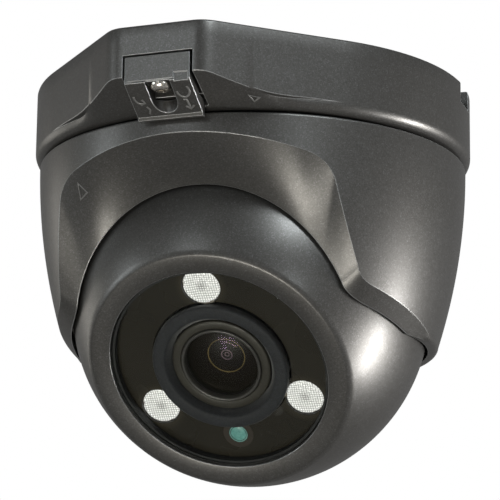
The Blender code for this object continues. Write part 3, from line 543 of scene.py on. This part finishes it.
def build_base():
    lobe = math.radians(48)
    turns = [-lobe + 2 * lobe * i / 120 for i in range(120)]
    turns += [lobe + 2 * (math.pi - lobe) * i / 130 for i in range(130)]
    shape = bmesh.new()
    columns = []
    for turn in turns:
        signed = (turn + math.pi) % (2 * math.pi) - math.pi
        points = [(r * MM * math.sin(turn), -r * MM * math.cos(turn), z * MM) for r, z in base_column(signed)]
        columns.append([shape.verts.new(point) for point in points])
    for here, there in zip(columns, columns[1:] + columns[:1]):
        for i in range(len(here) - 1):
            shape.faces.new([here[i], here[i + 1], there[i + 1], there[i]])
    shape.faces.new([column[0] for column in columns])
    shape.faces.new([column[-1] for column in columns])
    base = from_bmesh(shape, "base_casting", PAINT)
    notch = [(-72, -7.4), (-59.5, -7.4), (-59.5, -16.4), (-55.9, -16.4), (-55.9, -25), (-72, -25)]
    cutters = [prism("notch", notch, -8.8, 9.3, BLACK), rod("thread", 1.8, -9, -3.4, 0, SCREW_Y)]
    cutters.append(rod("cable_hole", 9, -6, 2, 0, 27, 96))
    for turn in (0, 120, 240):
        x, y = 38 * math.sin(math.radians(turn)), -38 * math.cos(math.radians(turn))
        cutters.append(rod("screw_hole", 2.25, -6, 2, x, y))
        cone = [(0, -1.4), (2.1, -1.4), (3.5, 0.1), (0, 0.1)]
        place = Matrix.Translation((x * MM, y * MM, -2.6 * MM)) @ Matrix.Rotation(math.pi, 4, "X")
        cutters.append(turned("countersink", cone, BLACK, 48, place))
    side = Matrix.Translation((0, 0, -0.5 * MM)) @ Matrix.Rotation(math.radians(94) - math.pi, 4, "Z")
    side = side @ Matrix.Rotation(-math.pi / 2, 4, "X")
    corners = ((-4.5, 50.5), (4.5, 50.5), (4.5, 60.5), (-4.5, 60.5))
    rows = [[(x * MM, y * MM, z * MM) for x, z in corners] for y in (-1, 5)]
    way = loft(rows, "way", BLACK, side, False, True)
    cutters += [rod("side_notch", 4.5, 50.5, 60.5, place=side, steps=64), way]
    cut(base, *cutters)
    place_piece(base, "base", "graphite_paint", "base_housing")


def triangle_mark(name, corners, body, width=0.30, proud=0.10):
    """An outlined triangle laid on a surface: three thin bars between corners in the world, in metres."""
    shape = bmesh.new()
    middle = sum(corners, Vector()) / 3
    normal = (corners[1] - corners[0]).cross(corners[2] - corners[0]).normalized()
    if normal.dot(middle - Vector((0, 0, middle.z))) < 0:
        normal.negate()
    rings = []
    for corner in corners:
        inward = (middle - corner).normalized() * width * 2 * MM
        base = corner - normal * 0.25 * MM
        top = corner + normal * proud * MM
        rings.append([shape.verts.new(p) for p in (base, top, top + inward, base + inward)])
    for i in range(3):
        here, there = rings[i], rings[(i + 1) % 3]
        for k in range(4):
            shape.faces.new([here[k], here[(k + 1) % 4], there[(k + 1) % 4], there[k]])
    mark = from_bmesh(shape, name, RAISED, smooth=20)
    place_piece(mark, body, "graphite_paint")


RAISED = moulded("raised_line", (0.125, 0.125, 0.120), (0.185, 0.185, 0.180), (0.32, 0.42), 900, 0.5)


def ribbon(name, path, body, place, width=0.5, low=-0.3, high=0.16, material=None, slot="graphite_paint"):
    """A raised line along (x, y) points on the XY plane of a placement, with rounded shoulders."""
    rows = []
    for i, point in enumerate(path):
        ahead = Vector(path[min(i + 1, len(path) - 1)]) - Vector(path[max(i - 1, 0)])
        side = Vector((-ahead.y, ahead.x)).normalized() * width / 2
        section = [(1, low), (1, high * 0.55), (0.55, high), (-0.55, high), (-1, high * 0.55), (-1, low)]
        across = [(point[0] + side.x * s, point[1] + side.y * s, z) for s, z in section]
        rows.append([(x * MM, y * MM, z * MM) for x, y, z in across])
    line = loft(rows, name, material or RAISED, place, around=False, capped=True, smooth=50)
    place_piece(line, body, slot)


def lock_slope():
    """A placement on the lock block's sloping face: X across, Y up the slope, Z out of it."""
    low, high = Vector((0, -57.5, -20.3)), Vector((0, -66.5, -14.5))
    up = (high - low).normalized()
    out = Vector((1, 0, 0)).cross(up).normalized()
    place = Matrix.Identity(4)
    for i, axis in enumerate((Vector((1, 0, 0)), up, out)):
        place.col[i] = (*axis, 0)
    place.col[3] = (*(low * MM), 1)
    return place


def build_lock():
    outline = [(-66.5, -7.8), (-66.5, -14.5), (-57.5, -20.3), (-57.2, -21.1)]
    outline += [(-56.2, -21.1), (-56.2, -16.8), (-59.8, -16.8), (-59.8, -7.8)]
    lock = prism("lock_insert", outline, -8.4, 8.4, PAINT)
    pocket = rod("pocket", 3.2, -25, -14.3, 0, -61.3, 64)
    way = prism("pocket_way", [(-68, -25), (-61.3, -25), (-61.3, -14.3), (-68, -14.3)], -3.2, 3.2, BLACK)
    step = prism("corner_step", [(-68, -16.9), (-66.1, -16.9), (-66.1, -12.6), (-68, -12.6)], 4.3, 7.9, BLACK)
    line = [(-67, -14.35), (-66.15, -14.35), (-66.15, -14.0), (-67, -14.0)]
    groove = prism("plate_groove", line, -7.9, 4.3, BLACK)
    cut(lock, pocket, way, rod("shank", 1.8, -16, -6, 0, SCREW_Y), step, groove)
    place_piece(lock, "lock", "graphite_paint", "lock_block")
    slope = lock_slope()
    turns = [math.radians(170 + 10 * i) for i in range(13)]
    left = [(-5.9 + 1.5 * math.cos(turn), 6.3 + 2.1 * math.sin(turn)) for turn in turns]
    turns = [math.radians(40 - 14 * i) for i in range(17)]
    right = [(5.6 + 1.6 * math.cos(turn), 7.0 + 1.9 * math.sin(turn)) for turn in turns]
    ribbon("lock_mark_left", left, "lock", slope)
    ribbon("lock_mark_left_head", [(-6.3, 3.9), (-5.0, 4.35), (-5.6, 5.5)], "lock", slope)
    ribbon("lock_mark_left_stem", [(-5.0, 3.2), (-4.4, 2.2), (-4.9, 1.0)], "lock", slope)
    ribbon("lock_mark_right", right, "lock", slope)
    ribbon("lock_mark_right_stem", [(4.9, 4.3), (5.7, 4.3), (5.9, 1.7)], "lock", slope)
    ribbon("lock_mark_right_head", [(4.9, 2.3), (5.9, 1.3), (7.0, 2.3)], "lock", slope)

    top = -14.4
    head = [(0, -1.65), (1.3, -1.65), (1.9, -1.5), (2.4, -1.12), (2.7, -0.6), (2.8, -0.25), (2.8, 0)]
    head.append((1.45, 0))
    profile = [(radius, top + height) for radius, height in head] + [(1.45, top + 0.5)]
    thread = []
    for i in range(19):
        z = top + 0.6 + 0.5 * i
        thread += [(1.45, z), (1.2, z + 0.25)]
    profile += thread + [(1.2, top + 10.2), (0, top + 10.2)]
    screw = turned("security_screw", profile, STEEL, 64, Matrix.Translation((0, SCREW_Y * MM, 0)))
    socket = []
    for i in range(48):
        turn = 2 * math.pi * i / 48
        radius = 1.12 + 0.16 * math.cos(6 * turn)
        socket.append((radius * MM * math.cos(turn), radius * MM * math.sin(turn)))
    rows = [[(x, y + SCREW_Y * MM, z * MM) for x, y in socket] for z in (top - 3, top - 0.55)]
    cut(screw, loft(rows, "socket", BLACK, WORLD, False, True))
    place_piece(screw, "lock_screw_body", "stainless_steel", "lock_screw")


# ---------------------------------------------------------------- cover

COVER_R, COVER_ORIGIN, COVER_CURVE, COVER_DEPTH, WALL = 55.25, -19.1, 149.35, 48, 2.6
NECK_R, NECK_TOP, SOCKET_R = 50.5, -11.4, 46.8
FLARE_START, FLARE_END = math.radians(57), math.radians(97)
TOP_STEPS, CORNER_STEPS, SIDE_STEPS, BEND_STEPS, FLARE_STEPS, BACK_STEPS = 30, 16, 14, 14, 22, 70
OUTER_ROWS, SOCKET_ROWS = 26, 14


def cover_radius(drop):
    return COVER_R - drop * drop / (2 * COVER_CURVE)


def socket_radius(drop):
    return math.sqrt(SOCKET_R ** 2 - (COVER_ORIGIN - drop - BALL_CENTRE_Z / MM) ** 2)


def flare_drop(turn, base, radius_of):
    drop = base - 6
    for _ in range(30):
        drop = base - 0.265 * radius_of(drop) * math.cos(turn)
    return drop


def flare(first, control, base, radius_of):
    last = (FLARE_START, flare_drop(FLARE_START, base, radius_of))
    run = []
    for i in range(1, BEND_STEPS + 1):
        t = i / BEND_STEPS
        weights = ((1 - t) ** 2, 2 * t * (1 - t), t * t)
        run.append(tuple(sum(w * p[k] for w, p in zip(weights, (first, control, last))) for k in (0, 1)))
    for i in range(1, FLARE_STEPS + 1):
        turn = FLARE_START + (FLARE_END - FLARE_START) * i / FLARE_STEPS
        run.append((turn, flare_drop(turn, base, radius_of)))
    return run


def ridge_curve():
    front = [(30.5 * i / TOP_STEPS, 4.95 + (30.5 * i / TOP_STEPS) ** 2 / 206) for i in range(TOP_STEPS + 1)]
    start, end = 30.5 / 103, math.pi / 2 - math.radians(9)
    centre = (front[-1][0] - 8.5 * math.sin(start), front[-1][1] + 8.5 * math.cos(start))
    for i in range(1, CORNER_STEPS + 1):
        angle = start + (end - start) * i / CORNER_STEPS
        front.append((centre[0] + 8.5 * math.sin(angle), centre[1] - 8.5 * math.cos(angle)))
    x, drop = front[-1]
    for i in range(1, SIDE_STEPS + 1):
        down = (35.5 - drop) * i / SIDE_STEPS
        front.append((x + down * math.tan(math.radians(9)), drop + down))
    curve = [(math.asin(x / cover_radius(drop)), drop) for x, drop in front]
    return curve + flare(curve[-1], (curve[-1][0] + math.radians(0.8), 38.7), 47.04, cover_radius)


def inner_curve():
    curve = []
    for (start, end), count in zip(((0, 46), (46, 58), (58, 70)), (TOP_STEPS, CORNER_STEPS, SIDE_STEPS)):
        for i in range(0 if not curve else 1, count + 1):
            angle = math.radians(start + (end - start) * i / count)
            x, drop = 36.9 * math.sin(angle), 51.3 - 36.9 * math.cos(angle)
            curve.append((math.asin(x / socket_radius(drop)), drop))
    turn, drop = curve[-1]
    return curve + flare((turn, drop), (turn + math.radians(1.6), drop + 3.4), 50.4, socket_radius)


def round_point(turn, radius, drop):
    return Vector((radius * math.sin(turn), -radius * math.cos(turn), COVER_ORIGIN - drop)) * MM


def cover_column(ridge, inner, top, inner_top):
    neck = COVER_ORIGIN - NECK_TOP
    shoulder = [(48.9, neck), (50.2, neck), (NECK_R, neck + 0.3), (NECK_R, 0.5)]
    shoulder += [(COVER_R - 0.5, 0.5), (COVER_R - 0.15, 0.65)]
    column = [round_point(top, radius, drop) for radius, drop in shoulder]
    ridge_turn, ridge_drop = ridge[0], min(ridge[1], 46.6)
    for i in range(OUTER_ROWS + 1):
        share = i / OUTER_ROWS
        drop = 1.0 + (ridge_drop - 1.0) * share
        column.append(round_point(top + (ridge_turn - top) * share, cover_radius(drop), drop))
    inner_turn, inner_drop = inner
    if ridge_drop < 46.6:
        outside, inside = column[-1], round_point(inner_turn, socket_radius(inner_drop), inner_drop)
        to_rim = min((COVER_DEPTH - ridge_drop) / (inner_drop - ridge_drop), 0.97)
        column += [outside.lerp(inside, to_rim * share) for share in (0.03, 0.2, 0.4, 0.6, 0.8, 1)]
    else:
        radius = cover_radius(46.6)
        column += [round_point(ridge_turn, r, d) for r, d in arc((radius - 1.4, 46.6), 1.4, 12, 90, 5)]
    inner_drop = min(inner_drop, COVER_DEPTH)
    share = min(max((math.degrees(inner_top) - 75) / 25, 0), 1)
    lip = share * share * (3 - 2 * share)
    liner, wall = 12.5 + 17.5 * lip, 4.4 + 25.6 * lip
    for i in range(SOCKET_ROWS + 1):
        share = i / SOCKET_ROWS
        drop = inner_drop + (liner - inner_drop) * share
        column.append(round_point(inner_turn + (inner_top - inner_turn) * share, socket_radius(drop), drop))
    lining = [(cover_radius(wall) - WALL, wall), (cover_radius(2.6) - WALL, 2.6), (48.9, 2.6)]
    return column + [round_point(top, radius, drop) for radius, drop in lining]


def build_cover():
    ridge, inner = ridge_curve(), inner_curve()
    last = len(ridge) - 1
    right = []
    for i in range(last + 1):
        even = FLARE_END * i / last
        right.append(cover_column(ridge[i], inner[i], (ridge[i][0] + even) / 2, (inner[i][0] + even) / 2))
    left = [[Vector((-p.x, p.y, p.z)) for p in column] for column in right[:0:-1]]
    back = []
    for i in range(1, BACK_STEPS):
        turn = FLARE_END + 2 * (math.pi - FLARE_END) * i / BACK_STEPS
        rear = min(turn, 2 * math.pi - turn)
        column = cover_column((rear, COVER_DEPTH), (rear, COVER_DEPTH), rear, rear)
        back.append([Vector(((1 if turn <= math.pi else -1) * p.x, p.y, p.z)) for p in column])
    cover = loft(right + back + left, "cover_casting", PAINT, smooth=22)
    lugs, threads = [], []
    for turn in (60, 180, 300):
        angle = math.radians(turn)
        lugs.append(sector("lug", NECK_R - 0.6, 52.8, NECK_TOP - 2.1, NECK_TOP, turn - 12, turn + 12))
        x, y = 44.6 * math.sin(angle), -44.6 * math.cos(angle)
        place = Matrix.Translation((x * MM, y * MM, 0)) @ Matrix.Rotation(angle - math.pi, 4, "Z")
        corners = ((-3.4, -1.9), (3.4, -1.9), (3.4, 7.4), (-3.4, 7.4))
        box = [[(a * MM, b * MM, c * MM) for a, b in corners] for c in (-34, -25.3)]
        lugs.append(loft(box, "boss", BLACK, place, False, True))
        threads.append(rod("boss_thread", 1.2, -32, -20, x, y, 24))
    cut(cover, *lugs, operation="UNION")
    cut(cover, sector("groove", 40, 48.6, COVER_ORIGIN - 42, COVER_ORIGIN - 37, 70, 290, 90), *threads)
    cover.data.set_sharp_from_angle(angle=math.radians(22))
    place_piece(cover, "cover", "graphite_paint", "dome_cover")


# ---------------------------------------------------------------- ball


BALL_R, CAP_SCREW_CIRCLE = 45.9, 31.2


def build_ball():
    face = math.sqrt(BALL_R ** 2 - 33.35 ** 2)
    bezel = [(28.1, -0.35), (28.2, -0.1), (28.45, 0), (32.7, 0), (33.05, -0.06), (33.25, -0.2)]
    profile = [(radius, face + height) for radius, height in bezel]
    profile += sphere(BALL_R, face - 0.45, -21.8, 60)
    profile.append((BALL_R * math.cos(math.asin(22 / BALL_R)) - 0.25, -22))
    profile += sphere(43.4, 24.8, -22, 16)[::-1] + [(27.3, 24.8), (27.3, 26.4), (28.1, 26.4)]
    place_piece(turned("ball_casting", profile, PAINT, 192, LENS), "ball", "graphite_paint", "ball_shell")

    profile = [(34.2, -16), (36.0, -16), (36.0, -22.3), (40.0, -22.3)] + sphere(BALL_R, -22.5, -42.9, 24)
    profile += [(15.6, -43), (7, -43), (7, -43.8), (6.8, -44), (4, -44), (4, -38.5)]
    profile += sphere(40.4, -21.5, -38.5, 10)[::-1]
    cap = turned("rear_casting", profile, PAINT, 144, LENS)
    for turn in (30, 150, 270):
        x = CAP_SCREW_CIRCLE * math.cos(math.radians(turn))
        y = CAP_SCREW_CIRCLE * math.sin(math.radians(turn))
        cut(cap, rod("well", 2.6, -45, -28.9, x, y, 40, LENS), rod("hole", 1.3, -45, -20, x, y, 24, LENS))
    place_piece(cap, "ball", "graphite_paint", "ball_rear_cap")

    back = -44.3
    lip = [(3.7, 0), (4.85, 0), (5, -0.15), (4.85, -0.3), (4.9, -0.45), (4.75, -0.6), (4.8, -0.75)]
    lip += [(4.5, -1.1), (1.9, -1.1), (1.6, -0.9)]
    profile = [(1.6, -38), (3.7, -38)] + [(radius, back + height) for radius, height in lip]
    place_piece(turned("gland_bush", profile, RUBBER, 64, LENS), "ball", "black_rubber", "cable_gland")


SENSOR = (20.4 * math.cos(math.radians(-91.5)), 20.4 * math.sin(math.radians(-91.5)))


def build_window():
    profile = [(0, 31.2), (27.55, 31.2), (27.8, 31.0), (27.85, 30.9), (27.85, 30.4), (0, 30.4)]
    place_piece(turned("window_pane", profile, GLASS, 128, LENS), "ball", "clear_glass", "front_glass")

    profile = [(17.9, 27.9), (18.0, 28), (27.6, 28), (27.8, 27.8), (27.8, 26.8), (17.9, 26.8)]
    panel = turned("inner_panel", profile, SMOKED, 128, LENS)
    cut(panel, *[rod("led_hole", 5.0, 26, 29, x, y, 64, LENS) for x, y in LED_PLACES], solver="MANIFOLD")
    place_piece(panel, "ball", "smoked_panel", "smoked_panel")

    profile = [(14.0, 29.6), (14.25, 30.0), (14.7, 30.1), (16.9, 30.1), (17.3, 29.95), (17.5, 29.6)]
    profile += [(17.5, 28.5), (17.35, 28.2), (16.2, 28.0), (16.2, 24.6), (13.1, 24.6), (13.1, 28.3)]
    place_piece(turned("foam_hood", profile, FOAM, 160, LENS, 60), "ball", "black_rubber", "lens_hood")

    gasket = [(27.2, 30.1), (27.85, 30.1), (27.85, 28.35), (27.2, 28.35)]
    place_piece(turned("pane_gasket", gasket, RUBBER, 128, LENS), "ball", "black_rubber", "glass_gasket")


def facet_height(x, y):
    """A pressed pattern of small square pillows, turned a little, that dies out at the rim."""
    a, b = 0.94 * x + 0.34 * y, 0.94 * y - 0.34 * x
    edge = min(max((4.35 - math.hypot(x, y)) / 0.4, 0), 1)
    return 0.13 * abs(math.sin(a * 2.9) * math.sin(b * 2.9)) * edge


def build_led_lens(index, x, y):
    turned_by = Matrix.Rotation(math.radians(120 * index + 15), 4, "Z")
    place = LENS @ Matrix.Translation((x * MM, y * MM, 0)) @ turned_by
    steps, rings = 120, 34
    profile = [(4.5, 27.55), (4.72, 27.45), (4.8, 27.3), (4.8, 26.6), (3.9, 25.4), (2.6, 24.3)]
    shape = bmesh.new()
    rows = []
    for k in range(1, rings + 1):
        radius = 4.4 * k / rings
        row = []
        for i in range(steps):
            turn = 2 * math.pi * i / steps
            px, py = radius * math.cos(turn), radius * math.sin(turn)
            crown = 0.30 * (1 - (radius / 4.4) ** 2)
            row.append((px, py, 27.3 + crown - 0.15 + facet_height(px, py)))
        rows.append(row)
    for radius, height in profile:
        row = []
        for i in range(steps):
            turn = 2 * math.pi * i / steps
            tab = 0.22 if min(abs(math.degrees(turn) - a) for a in (35, 155, 275)) < 6 and radius > 4.6 else 0
            row.append(((radius - tab) * math.cos(turn), (radius - tab) * math.sin(turn), height))
        rows.append(row)
    centre = shape.verts.new((0, 0, (27.45 + facet_height(0, 0)) * MM))
    bottom = shape.verts.new((0, 0, 24.3 * MM))
    made = [[shape.verts.new(Vector(p) * MM) for p in row] for row in rows]
    for here, there in zip(made, made[1:]):
        for i in range(steps):
            j = (i + 1) % steps
            shape.faces.new([here[i], here[j], there[j], there[i]])
    for i in range(steps):
        j = (i + 1) % steps
        shape.faces.new([centre, made[0][j], made[0][i]])
        shape.faces.new([bottom, made[-1][i], made[-1][j]])
    lens = from_bmesh(shape, f"led_optic_{index + 1}", FACETED, place, 50)
    place_piece(lens, "ball", "clear_acrylic", f"led_lens_{index + 1}")
    cup = [(5.5, 26.5), (5.75, 26.5), (5.0, 25.0), (4.4, 23.3), (4.15, 23.3), (4.7, 25.0)]
    holder = turned(f"led_cup_{index + 1}", cup, CUP, 64, place)
    place_piece(holder, "ball", "clear_acrylic")


def build_sensor():
    place = LENS @ Matrix.Translation((SENSOR[0] * MM, SENSOR[1] * MM, 0))
    disc = [(0, 28.09), (1.9, 28.09), (2.0, 28.03), (2.0, 27.0), (2.35, 26.5), (2.4, 23.2), (0, 23.2)]
    place_piece(turned("sensor_lens", disc, TEAL, 64, place), "ball", "sensor_teal", "light_sensor")
    rim = [(2.12, 28.08), (2.4, 28.08), (2.4, 27.95), (2.12, 27.95)]
    place_piece(turned("sensor_rim", rim, TEAL_RIM, 64, place), "ball", "sensor_teal")
    ring = [(2.55, 28.05), (3.95, 28.05), (3.95, 27.95), (2.55, 27.95)]
    place_piece(turned("sensor_surround", ring, SENSOR_WINDOW, 64, place), "ball", "smoked_panel")


def build_lens():
    rim = [(9.35, 27.6), (9.45, 28.55), (9.6, 28.8), (9.8, 28.9), (10.1, 28.9), (10.25, 28.75), (10.35, 28.4)]
    rim += [(10.35, 27.2), (9.35, 27.2)]
    place_piece(turned("lens_rim", rim, BARREL_EDGE, 128, LENS, 50), "front_lens", "lens_black")
    profile = [(10.4, 28.2), (10.55, 28.45), (10.75, 28.5), (12.3, 28.5), (12.6, 28.38), (12.7, 28.1)]
    profile += [(12.7, 26.2), (12.5, 26.0), (12.7, 25.8), (12.7, 14.0), (10.4, 14.0)]
    barrel = turned("lens_front_barrel", profile, BARREL, 128, LENS, 50)
    place_piece(barrel, "front_lens", "lens_black", "front_group")
    profile = arc((0, 6.4), 21.9, 64.5, 90, 24)[::-1]
    profile += [(9.25, 25.2), (8.4, 24.9), (6, 25.6), (3, 26.2), (0, 26.4)]
    glass = turned("front_glass_element", profile, COATED, 96, LENS, 50)
    place_piece(glass, "front_lens", "clear_glass", "front_element")
    bore = [(10.3, 26.9), (9.32, 26.9), (9.32, 24.6), (8.2, 22.5), (5.4, 20.5), (5.4, 19.5), (10.3, 19.5)]
    place_piece(turned("lens_baffle", bore, BORE, 96, LENS), "front_lens", "lens_black")
    inner = [(0, 19.4), (4.6, 18.4), (5.0, 18.2), (5.0, 16.8), (0, 16.8)]
    place_piece(turned("inner_element", inner, COATED, 64, LENS, 60), "front_lens", "clear_glass")
    for name, radius, width, height, material in (
        ("reflection_ring_outer", 4.75, 0.11, 23.7, GOLD_GLOW),
        ("reflection_ring_inner", 1.35, 0.13, 23.3, VIOLET_GLOW),
        ("reflection_ring_centre", 0.55, 0.10, 23.1, VIOLET_GLOW),
    ):
        ring = arc((radius, height), width, 0, 330, 11)
        place_piece(turned(name, ring, material, 96, LENS), "front_lens", "lens_black")
    place = LENS @ Matrix.Translation((0, 0, 24.2 * MM))
    # These arcs are painted reflections too: thin glowing ribbons for the light caught inside the lens.
    arcs = (("violet_arc", 4.05, 38, 92, VIOLET_GLOW), ("gold_arc", 4.25, 34, 84, GOLD_GLOW))
    for name, radius, low, high, material in arcs:
        turns = [math.radians(turn) for turn in range(low, high, 6)]
        path = [(radius * math.cos(turn), radius * math.sin(turn)) for turn in turns]
        ribbon(name, path, "front_lens", place, 0.12, -0.1, 0.02, material, "lens_black")
    iris = [(1.9, 16.4), (9.8, 16.4), (9.8, 16.1), (1.9, 16.1)]
    place_piece(turned("iris_plate", iris, BORE, 64, LENS), "front_lens", "lens_black")


def build_marks():
    place_base = math.radians(20.6)

    def on_chamfer(turn, share):
        radius = base_outline(turn)
        edge_z = LOBE_EDGE - LOBE_SLOPE * (LOBE_REACH - radius)
        foot = radius - (edge_z - BASE_LOW) / LOBE_SLOPE
        r, z = radius + (foot - radius) * share, edge_z + (BASE_LOW - edge_z) * share
        return Vector((r * math.sin(turn), -r * math.cos(turn), z)) * MM

    columns = list(zip(ridge_curve(), inner_curve()))

    def on_bevel(index, share):
        (ridge_turn, ridge_drop), (inner_turn, inner_drop) = columns[index]
        outside = round_point(-ridge_turn, cover_radius(ridge_drop), ridge_drop)
        return outside.lerp(round_point(-inner_turn, socket_radius(inner_drop), inner_drop), share)

    corners = [on_bevel(TOP_STEPS - 2, 0.37), on_bevel(TOP_STEPS + 2, 0.37), on_bevel(TOP_STEPS, 0.15)]
    triangle_mark("cover_mark", corners, "cover")
    shares = ((-0.027, 0.36), (0.027, 0.36), (0, 0.68))
    corners = [on_chamfer(place_base + turn, share) for turn, share in shares]
    triangle_mark("base_mark", corners, "base")


build_base()
build_lock()
build_cover()
build_ball()
build_window()
for led, (led_x, led_y) in enumerate(LED_PLACES):
    build_led_lens(led, led_x, led_y)
build_sensor()
build_lens()
build_marks()


# ---------------------------------------------------------------- stage


def pale_floor():
    """Plain and pale. It glows a little, because the lights are aimed at the camera and not at the floor."""
    m = Maker("pale_floor")
    shade = m.ramp(m.noise(6, 4), [(0.3, (0.82, 0.82, 0.81)), (0.7, (0.86, 0.86, 0.85))])
    m.set(Base_Color=shade, Roughness=m.levels(m.noise(40), 0.6, 0.75),
          Emission_Color=shade, Emission_Strength=0.62)
    return m.material


floor_shape = bmesh.new()
bmesh.ops.create_grid(floor_shape, x_segments=2, y_segments=2, size=12)
floor = from_bmesh(floor_shape, "floor", pale_floor(), Matrix.Translation((0, 0, -2.0)))
floor.visible_diffuse = floor.visible_glossy = False  # so that its glow doesn't light the paint

# White behind the object, and dim where it lights or is reflected, so that the softboxes shape the form.
world = bpy.data.worlds.new("studio")
bpy.context.scene.world = world
world.use_nodes = True
world_nodes = world.node_tree.nodes
background = world_nodes["Background"]
background.inputs["Color"].default_value = (1, 1, 1, 1)
seen = world_nodes.new("ShaderNodeLightPath")
strength = world_nodes.new("ShaderNodeMapRange")
strength.inputs["To Min"].default_value = 0.2
strength.inputs["To Max"].default_value = 1.0
world.node_tree.links.new(seen.outputs["Is Camera Ray"], strength.inputs["Value"])
world.node_tree.links.new(strength.outputs["Result"], background.inputs["Strength"])


AIM = (0, 0, -0.05)
COOL, WARM = (0.90, 0.96, 1.0), (1.0, 0.96, 0.89)


def softbox(name, place, size, power, colour):
    light = bpy.data.lights.new(name, "AREA")
    light.shape = "RECTANGLE"
    light.size, light.size_y = size
    light.energy = power
    light.color = colour
    obj = bpy.data.objects.new(name, light)
    obj.location = place
    obj.rotation_euler = (Vector(place) - Vector(AIM)).to_track_quat("Z", "Y").to_euler()
    bpy.context.scene.collection.objects.link(obj)


softbox("right_low", (1.0, 0.40, -0.42), (0.16, 0.45), 18, (1.0, 0.975, 0.96))
softbox("front", (-0.36, -1.05, 0.40), (0.4, 0.25), 1.4, COOL)
softbox("right_front", (0.80, -0.82, -0.02), (0.22, 0.22), 1.3, COOL)
softbox("upper_right", (0.75, -0.60, 0.80), (0.35, 0.3), 9.5, COOL)
softbox("left_front", (-0.95, -0.55, 0.02), (0.3, 0.5), 2.5, COOL)
softbox("left_wall", (-1.2, 0.25, -0.05), (0.5, 0.6), 1.8, WARM)
softbox("low_front", (-0.1, -1.0, -0.9), (0.6, 0.4), 10.5, WARM)

camera = bpy.data.objects.new("camera", bpy.data.cameras.new("camera"))
camera.data.lens = 194.8
camera.data.sensor_width = 36
camera.data.clip_start = 0.01
azimuth, elevation, roll, distance = math.radians(20.5), math.radians(-14.37), math.radians(0.663), 0.70
level = math.cos(elevation)
back = Vector((math.sin(azimuth) * level, -math.cos(azimuth) * level, math.sin(elevation)))
right = Vector((math.cos(azimuth), math.sin(azimuth), 0))
up = back.cross(right)
tilted_right = right * math.cos(roll) + up * math.sin(roll)
tilted_up = up * math.cos(roll) - right * math.sin(roll)
turn = Matrix((tilted_right, tilted_up, back)).transposed()
target = Vector((0, 0, -0.0399)) - right * 0.0005
camera.matrix_world = Matrix.Translation(target + back * distance) @ turn.to_4x4()
bpy.context.scene.collection.objects.link(camera)
bpy.context.scene.camera = camera
bpy.context.scene.view_settings.view_transform = "Standard"

bpy.context.view_layer.update()
